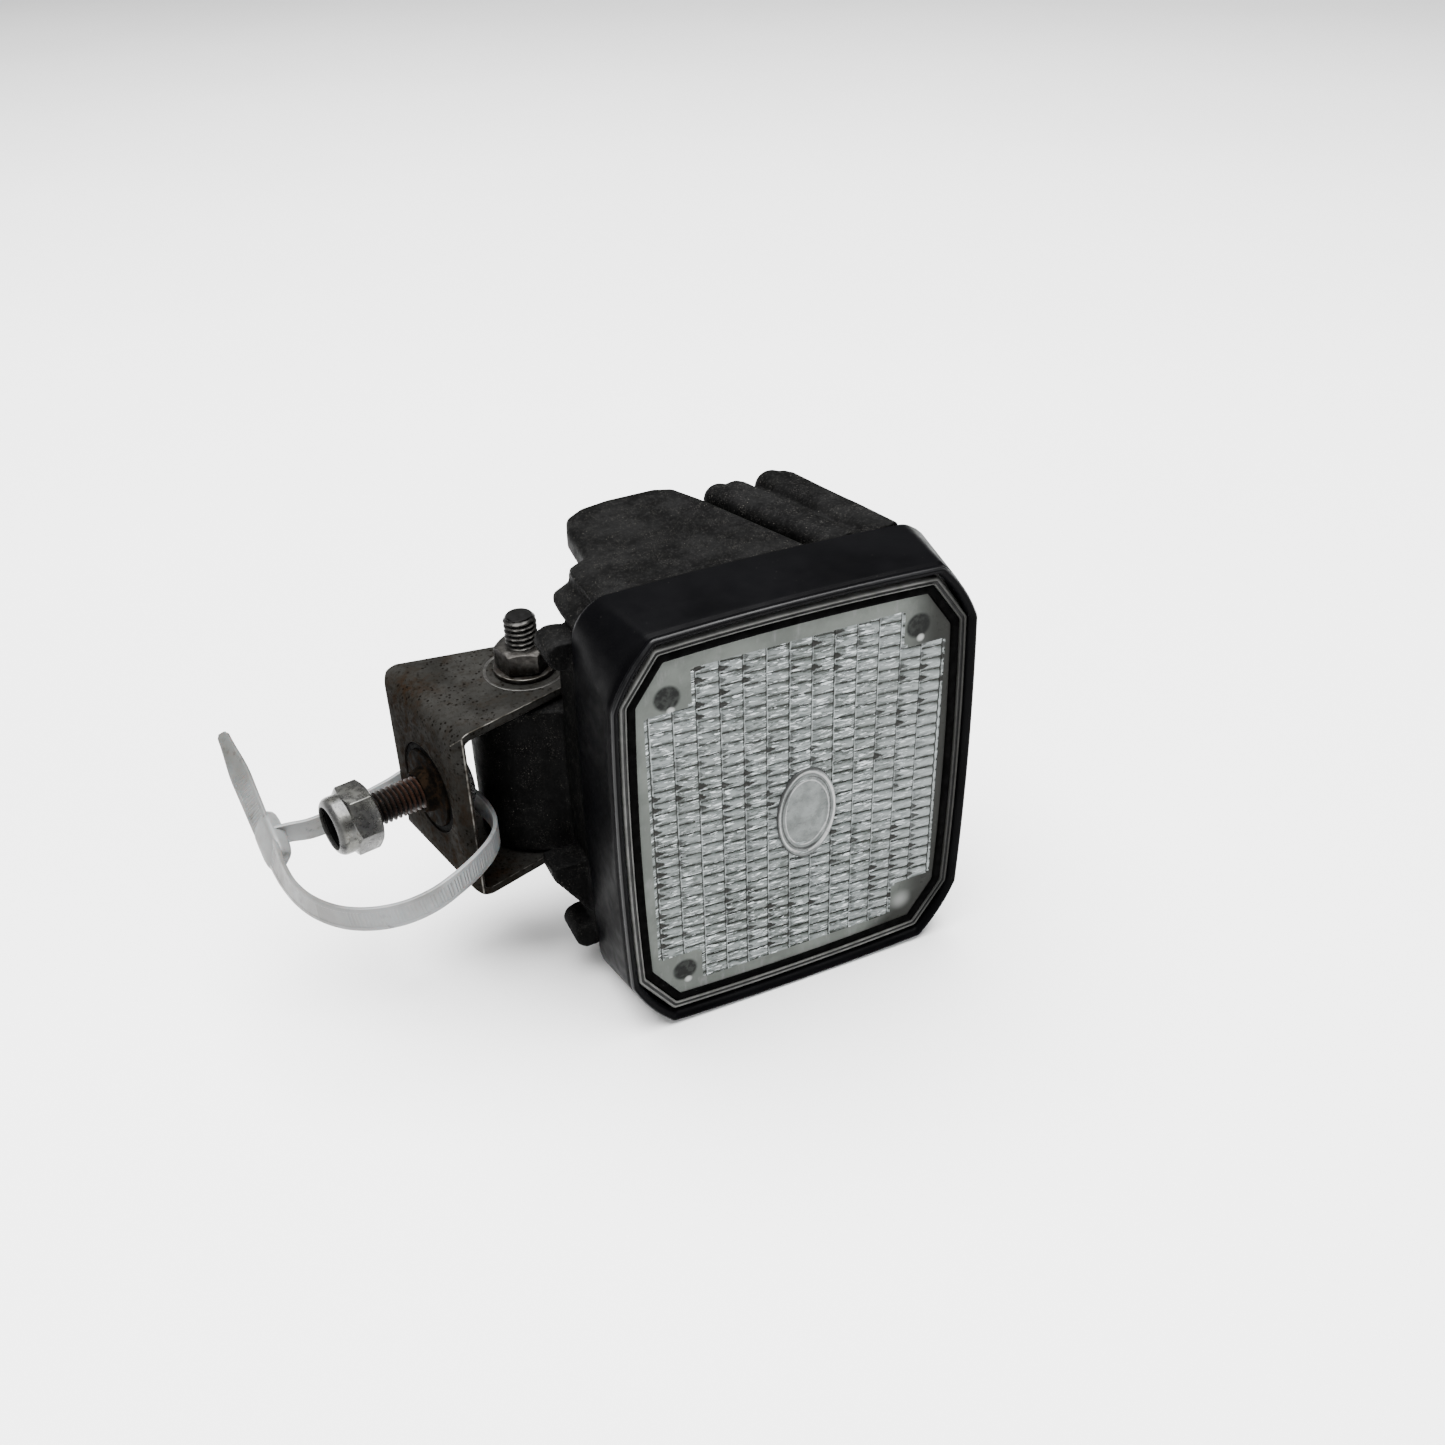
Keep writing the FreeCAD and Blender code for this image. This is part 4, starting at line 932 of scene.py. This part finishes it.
def ellipse(grow, y, steps=72):
    """An ellipse round the medallion's centre, grown outwards, in the plane y."""
    ring = []
    for i in range(steps):
        angle = 2 * math.pi * i / steps
        ring.append(Vector((OVAL_AT[0] + (OVAL[0] + grow) * math.cos(angle), y,
                            OVAL_AT[1] + (OVAL[1] + grow) * math.sin(angle))))
    return ring


def medallion():
    """Plain oval in the middle of the lens: a double raised rim round a frosted, slightly crowned face."""
    profile = [(0.0, 1.9), (0.0, 0.75), (-0.15, 0.5), (-0.5, 0.42), (-0.85, 0.5), (-1.0, 0.8),
               (-1.2, 0.95), (-1.75, 0.95), (-1.95, 0.8), (-2.1, 0.58), (-2.4, 0.52), (-2.7, 0.6),
               (-2.85, 0.85), (-3.1, 0.98), (-3.6, 0.98), (-5.0, 0.86), (-7.0, 0.78), (-8.6, 0.75)]
    mesh = mesh_from("lens_medallion", *loft([ellipse(grow, y) for grow, y in profile]), HEAD)
    return add_piece("lens_medallion", mesh, "head", [CLOUDY_GLASS], [], 60)


# ---- housing

def section_block(name, sections):
    """A closed solid through cross-sections given as (y, [(x, z), ...])."""
    rings = [[Vector((x, y, z)) for x, z in section] for y, section in sections]
    return mesh_from(name, *loft(rings), HEAD)


def toothed_section(t, drop):
    """Cross-section of the two teeth right of the roof, from bezel (t 0) to rear (t 1), lowered by drop."""
    def at(front, rear):
        return front + (rear - front) * t
    roof_edge, crest_2, foot_3, crest_3 = at(17.0, 1.5), at(28.0, 14.8), at(36.4, 22.0), at(43.2, 31.8)
    high = 65.6 - drop
    return [(roof_edge - 3, 40), (roof_edge - 1.5, 57.0 - drop * 0.5),
            (roof_edge + 2.5, 57.2 - drop * 0.5), (crest_2 - 4.2, 59.2 - drop * 0.7),
            (crest_2 - 2.2, high - 2.4), (crest_2 - 1.0, high - 0.5), (crest_2 + 1.6, high),
            (foot_3 - 2.2, high - 2.8), (foot_3, high - 4.4), (foot_3 + 1.2, high - 4.2),
            (crest_3 - 2.4, high - 1.2), (crest_3 - 0.6, high - 0.2), (crest_3 + 0.8, high - 0.3),
            (crest_3 + 3.4, high - 4.4), (crest_3 + 4.6, high - 9), (crest_3 + 3.0, 40)]


def side_teeth():
    """Two sharp teeth in the upper left corner, beside the roof."""
    front = [(-28, 62), (-37.0, 64.4), (-42.5, 64.2), (-46.6, 62.4), (-46.2, 60.6), (-45.8, 58.8),
             (-52.0, 55.8), (-52.2, 54.4), (-46.5, 48.4), (-41, 42), (-28, 42)]
    sections = []
    for y, shrink in [(26.4, 1.0), (40, 0.99), (46, 0.97), (49, 0.93), (50.5, 0.88)]:
        sections.append((y, [(-28 + (x + 28) * shrink, 52 + (z - 52) * shrink) for x, z in front]))
    return section_block("side_teeth", sections)


def toothed_block():
    sections = []
    straight = [(y, 0) for y in (26.4, 36, 48, 60, 70)]
    for y, drop in straight + [(73, 0.5), (75, 1.6), (76.4, 3.2), (77.2, 5.5)]:
        sections.append((y, toothed_section((y - 26) / 48, drop)))
    return section_block("teeth", sections)


def housing():
    """The CAD housing with its sawtooth ribs, melted into one moulding with soft edges."""
    shell = frame["nodes"]["housing"].data.copy()
    shell.materials.clear()
    joined = bmesh.new()
    joined.from_mesh(shell)
    for upper in (toothed_block(), side_teeth()):
        joined.from_mesh(upper)
        lower = upper.copy()
        lower.transform(HEAD @ Matrix.Scale(-1, 4, (0, 0, 1)) @ HEAD.inverted())
        lower.flip_normals()
        joined.from_mesh(lower)
    joined.to_mesh(shell)
    joined.free()
    source = scratch_object(shell)
    melt = source.modifiers.new("melt", "REMESH")
    melt.mode = "VOXEL"
    melt.voxel_size = HOUSING_VOXEL * MM
    soften = source.modifiers.new("soften", "SMOOTH")
    soften.factor = 0.5
    soften.iterations = 5
    lighten = source.modifiers.new("lighten", "DECIMATE")
    lighten.ratio = 0.30
    mesh = evaluated(source)
    return add_piece("housing_moulding", mesh, "head", [HOUSING_BLACK], ["housing"], 60)


HOUSING_VOXEL = 0.65


# ---- bolts

def along(direction, start):
    """Placement of a shape drawn about Z, with Z turned to a direction, at a point in WEB millimetres."""
    turn = Vector((0, 0, 1)).rotation_difference(Vector(direction)).to_matrix().to_4x4()
    return WEB @ Matrix.Translation(start) @ turn


def trimmed(node, at, keep, body, materials, name):
    """A CAD bolt kept on one side of a plane, where its plain shank gives way to a cut thread."""
    mesh = frame["nodes"][node].data.copy()
    mesh.materials.clear()
    cut = bmesh.new()
    cut.from_mesh(mesh)
    bmesh.ops.remove_doubles(cut, verts=cut.verts, dist=2e-6)
    everything = cut.verts[:] + cut.edges[:] + cut.faces[:]
    bmesh.ops.bisect_plane(cut, geom=everything, plane_co=at * MM, plane_no=keep, clear_inner=True)
    open_edges = [edge for edge in cut.edges if edge.is_boundary]
    bmesh.ops.holes_fill(cut, edges=open_edges)
    bmesh.ops.recalc_face_normals(cut, faces=cut.faces)
    bmesh.ops.dissolve_limit(cut, angle_limit=math.radians(0.6), verts=cut.verts, edges=cut.edges)
    cut.to_mesh(mesh)
    cut.free()
    source = scratch_object(mesh)
    round_edges(source, 0.25)
    return add_piece(name, evaluated(source), body, materials, [node])


def mounting_bolt():
    """M10 bolt: helical thread outside the bracket, shank and hexagonal head inside."""
    place = along((-1, 0, 0), (0, 0, 0))
    rod = thread("bolt_thread", BOLT_R, BOLT_PITCH, 1.0, -1.0, -BOLT_END_X, place, 64, 12)
    add_piece("bolt_thread", rod, "mounting", [RUSTY_THREAD], [], 30)
    start = Vector((HUB_TALL + 0.5, 0, 0))
    trimmed("mounting_bolt", start, Vector((1, 0, 0)), "mounting", [BOLT_HEAD], "bolt_head")


def pivot_stud():
    place = ROW @ Matrix.Translation((PIVOT.x, PIVOT.y, 0))
    rod = thread("stud_thread", STUD_R, STUD_PITCH, 0.9, NUT_TOP_Z - 1.5, STUD_TOP_Z, place, 56, 12)
    add_piece("stud_thread", rod, "bracket", [STUD_METAL], [], 30)
    start = Vector((0, 0, NUT_TOP_Z - 1.0))
    trimmed("pivot_bolt", start, Vector((0, 0, -1)), "bracket", [DIRTY_ZINC], "pivot_shank")


# ---- cable tie

TIE_WIDE = 7.8
TIE_THICK = 1.3
TIE_ROUTE = [               # the band's middle line, (x, y, z, roll) in WEB millimetres and degrees
    (-36.5, 31.0, -18.4, 12), (-33.0, 29.8, -18.2, 12), (-27.0, 27.6, -18.2, 8), (-19.0, 26.8, -17.6, 4),
    (-10.0, 26.8, -16.6, 0), (-2.0, 26.4, -15.2, 0), (4.5, 26.4, -14.0, 0), (10.0, 23.6, -13.0, 0),
    (13.2, 17.5, -12.2, 0), (14.0, 9.0, -11.4, 0), (14.0, -1.0, -10.8, 0), (13.4, -10.0, -10.4, 0),
    (11.0, -17.8, -10.2, 0), (6.6, -23.0, -10.4, 0), (0.0, -26.8, -10.9, 0), (-8.0, -29.6, -11.6, 0),
    (-16.0, -30.4, -13.0, 0), (-24.0, -28.4, -14.6, 0), (-31.5, -23.6, -16.0, 0), (-37.4, -16.4, -17.2, 0),
    (-41.2, -7.0, -18.2, 2), (-42.6, 3.0, -19.0, 6), (-42.2, 13.0, -19.4, 14), (-40.9, 22.5, -19.4, 22),
    (-39.6, 31.0, -18.6, 30), (-38.6, 39.0, -16.0, 34), (-37.8, 46.0, -12.6, 36), (-37.2, 52.5, -8.4, 38),
    (-36.8, 58.5, -3.6, 40), (-36.6, 63.5, 1.0, 42),
]
TIE_HEAD_AT = 24
TIE_LOCK = (19.0, 9.6, 5.6)
TIE_LOCK_SHAPE = [(-1.0, 0.62), (-0.97, 0.74), (-0.9, 0.84), (-0.75, 0.93), (-0.5, 0.99),
                  (0.0, 1.0), (0.5, 0.98), (0.75, 0.91), (0.9, 0.8), (0.97, 0.68), (1.0, 0.56)]
TIE_STEPS = 18              # mesh sections between two points of the route
TONGUE_POINTS = 90          # mesh sections at the free end, among which the tongue tapers
FAR = 99


def smooth_between(a, b, c, d, t):
    """Catmull-Rom spline from b to c."""
    square = 2 * a - 5 * b + 4 * c - d
    cube = 3 * b - a - 3 * c + d
    return 0.5 * (2 * b + (c - a) * t + square * t ** 2 + cube * t ** 3)


def tie_line():
    """Close points of the band's middle line, as (place, roll)."""
    knots = [(Vector(p[:3]), p[3]) for p in TIE_ROUTE]
    knots = [knots[0]] + knots + [knots[-1]]
    line = []
    for i in range(1, len(knots) - 2):
        for j in range(TIE_STEPS):
            t = j / TIE_STEPS
            four = knots[i - 1:i + 3]
            place = smooth_between(*[k[0] for k in four], t)
            roll = smooth_between(*[k[1] for k in four], t)
            line.append((place, roll))
    return line + [knots[-1]]


def tie_ring(place, run, roll, wide, tooth):
    """Rounded cross-section of the band; tooth lowers the toothed strip on its inner side."""
    out = run.cross(Vector((0, 0, 1))).normalized()
    up = out.cross(run).normalized()
    turn = Matrix.Rotation(math.radians(roll), 3, run)
    out, up = turn @ out, turn @ up
    w, t, e = wide / 2, TIE_THICK / 2, 0.32
    strip = w * 0.66
    section = [(-w, -t + e), (-w + e * 0.3, -t + e * 0.3), (-w + e, -t), (w - e, -t),
               (w - e * 0.3, -t + e * 0.3), (w, -t + e), (w, t - e), (w - e * 0.3, t - e * 0.3),
               (w - e, t), (strip, t), (strip - 0.12, t - tooth), (-strip + 0.12, t - tooth),
               (-strip, t), (-w + e, t), (-w + e * 0.3, t - e * 0.3), (-w, t - e)]
    return [place + up * a - out * b for a, b in section]


def left_of_line(line, i):
    """Length of the band from point i to its free end; only near that end does it matter."""
    if i <= len(line) - TONGUE_POINTS:
        return FAR
    return sum((line[k + 1][0] - line[k][0]).length for k in range(i, len(line) - 1))


def cable_tie():
    """The band, toothed on its inner side, tapering to a flat tongue at its free end."""
    line = tie_line()
    rings = []
    travelled = 0.0
    for i, (place, roll) in enumerate(line):
        before, after = line[max(i - 1, 0)][0], line[min(i + 1, len(line) - 1)][0]
        travelled += (place - before).length
        left = left_of_line(line, i)
        wide = TIE_WIDE * (0.52 + 0.48 * smooth_step(0, 16, left)) * (0.6 + 0.4 * smooth_step(0, 1.2, left))
        tooth = 0.14 if travelled > 8 and left > 14 and (travelled / 1.1) % 1.0 > 0.5 else 0.0
        rings.append(tie_ring(place, (after - before).normalized(), roll, wide, tooth))
    mesh = mesh_from("tie_band", *loft(rings), WEB)
    return add_piece("tie_band", mesh, "bracket", [WHITE_NYLON], ["cable_tie_strap"], 30)


def tie_lock():
    """Locking head: a rounded block along the band, on the side away from the loop."""
    knots = [Vector(p[:3]) for p in TIE_ROUTE]
    run = (knots[TIE_HEAD_AT + 1] - knots[TIE_HEAD_AT - 1]).normalized()
    out = run.cross(Vector((0, 0, 1))).normalized()
    wide = out.cross(run).normalized()
    turn = Matrix.Rotation(math.radians(TIE_ROUTE[TIE_HEAD_AT][3]), 3, run)
    out, wide = turn @ out, turn @ wide
    centre = knots[TIE_HEAD_AT] + out * 1.5
    rings = []
    for at, grow in TIE_LOCK_SHAPE:
        ring = []
        for i in range(48):
            angle = 2 * math.pi * i / 48
            c, n = math.cos(angle), math.sin(angle)
            across = math.copysign(abs(c) ** 0.45, c) * (TIE_LOCK[1] / 2) * grow
            thick = math.copysign(abs(n) ** 0.55, n) * (TIE_LOCK[2] / 2) * grow
            ring.append(centre + run * (at * TIE_LOCK[0] / 2) + wide * across + out * thick)
        rings.append(ring)
    mesh = mesh_from("tie_lock", *loft(rings), WEB)
    return add_piece("tie_lock", mesh, "bracket", [WHITE_NYLON], ["cable_tie_head"], 50)


def flange_wear():
    """The worn ring that the turning washer has rubbed on each flange."""
    for name, side in (("flange_wear_top", 1), ("flange_wear_low", -1)):
        place = ROW @ Matrix.Translation((PIVOT.x, PIVOT.y, side * 28.2)) @ Matrix.Scale(side, 4, (0, 0, 1))
        profile = [(4.9, -0.05), (4.9, 0.06), (11.2, 0.07), (11.45, 0.16), (11.75, 0.20),
                   (12.1, 0.16), (12.3, -0.05)]
        rings = []
        for radius, height in profile:
            angles = [math.radians(a) for a in range(0, 360, 4)]
            rings.append([Vector((radius * math.cos(a), radius * math.sin(a), height)) for a in angles])
        mesh = mesh_from(name, *loft(rings, closed=True), place)
        made = add_piece(name, mesh, "bracket", [BRACKET_STEEL, RUBBED_RING], [], 60)
        paint_bands(made, 90, {2: 1, 3: 1, 4: 1})


# ---- everything else, from CAD shapes

BOLT_HEAD = bright_zinc("bolt_head_zinc", 0.22, 0.45, 0.6)


OTHER_PIECES = [            # node, body, slot, materials, bevel in mm, and the bevel's own material
    ("bracket", "bracket", "bracket_steel", [BRACKET_STEEL, WORN_EDGE], 0.35, 1),
    ("web_grommet", "bracket", "seal_rubber", [RUBBER], 0.3),
    ("grommet_plate", "bracket", "bracket_steel", [PLATE_STEEL], 0.3),
    ("head_washer", "mounting", "dull_zinc", [BOLT_HEAD], 0.2),
    ("mounting_nut", "nut", "zinc", [BRIGHT_ZINC], 0.25),
    ("nut_insert", "nut", "nylon_dark", [DARK_NYLON], 0.2),
    ("pivot_nut", "bracket", "dull_zinc", [DIRTY_ZINC], 0.25),
    ("pivot_washers", "bracket", "dull_zinc", [DIRTY_ZINC, WORN_EDGE], 0.25, 1),
    ("friction_washers", "bracket", "nylon_dark", [DARK_NYLON], 0.2),
    ("rear_cap", "cap", "housing_black", [HOUSING_BLACK], 0.5),
    ("cable_gland", "head", "seal_rubber", [RUBBER], 0.4),
    ("breather_vent", "head", "housing_black", [HOUSING_BLACK], 0.3),
    ("housing_seal", "head", "seal_rubber", [RUBBER], 0.2),
    ("pivot_sleeve", "head", "dull_zinc", [DIRTY_ZINC], 0.2),
    ("corner_screws", "head", "screw_dark", [DARK_SCREW], 0.3),
    ("bulb_base", "head", "bulb_metal", [BULB_METAL], 0.3),
    ("lead_terminal", "head", "terminal", [TERMINAL], 0.3),
    ("rear_cap_seal", "cap", "seal_rubber", [RUBBER], 0.1),
]


def cad_finishes():
    """The CAD nodes that stay as they are get their materials."""
    kept = {"reflector": MIRROR, "bulb_glass": QUARTZ, "bulb_filament": TUNGSTEN, "bulb_clip": SPRING_STEEL,
            "bulb_lead": LEAD_BLACK}
    for node, material in kept.items():
        mesh = frame["nodes"][node].data
        mesh.materials.clear()
        mesh.materials.append(material)
        mesh.shade_smooth()
        mesh.set_sharp_from_angle(angle=math.radians(35))


bezel()
lens_ring()
lens_seal()
lens()
medallion()
housing()
mounting_bolt()
pivot_stud()
cable_tie()
tie_lock()
flange_wear()
for piece in OTHER_PIECES:
    refined(*piece)
cad_finishes()


# ---- stage, light and camera

FLOOR_HALF = 3.0
FLOOR_GAP = 0.0002          # metres between the floor and the object's lowest point at rest


def floor():
    """Pale plane just under the object at rest. It doesn't move with a pose."""
    size = FLOOR_HALF
    corners = [(-size, -size), (size, -size), (size, size), (-size, size)]
    mesh = bpy.data.meshes.new("floor")
    level = cad_box[0][2] - FLOOR_GAP
    mesh.from_pydata([(x, y, level) for x, y in corners], [], [(0, 1, 2, 3)])
    f = Finish("pale_floor", Specular_IOR_Level=0.2)
    f.colour(f.mix(f.patches(0.3, 0.7, 400, 3), grey(0.90), grey(0.93)))
    f.rough(0.6)
    mesh.materials.append(f.material)
    made = bpy.data.objects.new("floor", mesh)
    bpy.context.scene.collection.objects.link(made)


def area_light(name, at, target, size, power):
    data = bpy.data.lights.new(name, "AREA")
    data.shape = "DISK"
    data.size = size
    data.energy = power
    made = bpy.data.objects.new(name, data)
    made.location = at
    made.rotation_euler = (Vector(target) - Vector(at)).to_track_quat("-Z", "Y").to_euler()
    bpy.context.scene.collection.objects.link(made)


def world_light(strength):
    world = bpy.data.worlds.new("studio")
    world.use_nodes = True
    world.node_tree.nodes["Background"].inputs[0].default_value = (1, 1, 1, 1)
    world.node_tree.nodes["Background"].inputs[1].default_value = strength
    bpy.context.scene.world = world


CAMERA_AT = Vector((-0.12793, -0.32286, 0.24648))
CAMERA_YAW = -36.226
CAMERA_PITCH = -33.845
CAMERA_ROLL = -1.552
CAMERA_LENS = 36.3


def camera():
    data = bpy.data.cameras.new("camera")
    data.lens = CAMERA_LENS
    data.sensor_width = 36
    data.clip_start = 0.01
    made = bpy.data.objects.new("camera", data)
    turn = (Matrix.Rotation(math.radians(CAMERA_YAW), 4, "Z")
            @ Matrix.Rotation(math.radians(90 + CAMERA_PITCH), 4, "X")
            @ Matrix.Rotation(math.radians(CAMERA_ROLL), 4, "Z"))
    made.matrix_world = Matrix.Translation(CAMERA_AT) @ turn
    bpy.context.scene.collection.objects.link(made)
    bpy.context.scene.camera = made


floor()
world_light(0.35)
area_light("overhead", (0.0, 0.1, 1.7), (0.05, 0.0, 0), 2.2, 210)
area_light("key", (-0.7, -0.5, 0.8), (0.05, -0.02, 0), 0.4, 2.5)
area_light("fill", (0.9, -0.9, 0.35), (0.05, -0.02, 0), 0.6, 7)
camera()

bpy.context.view_layer.update()
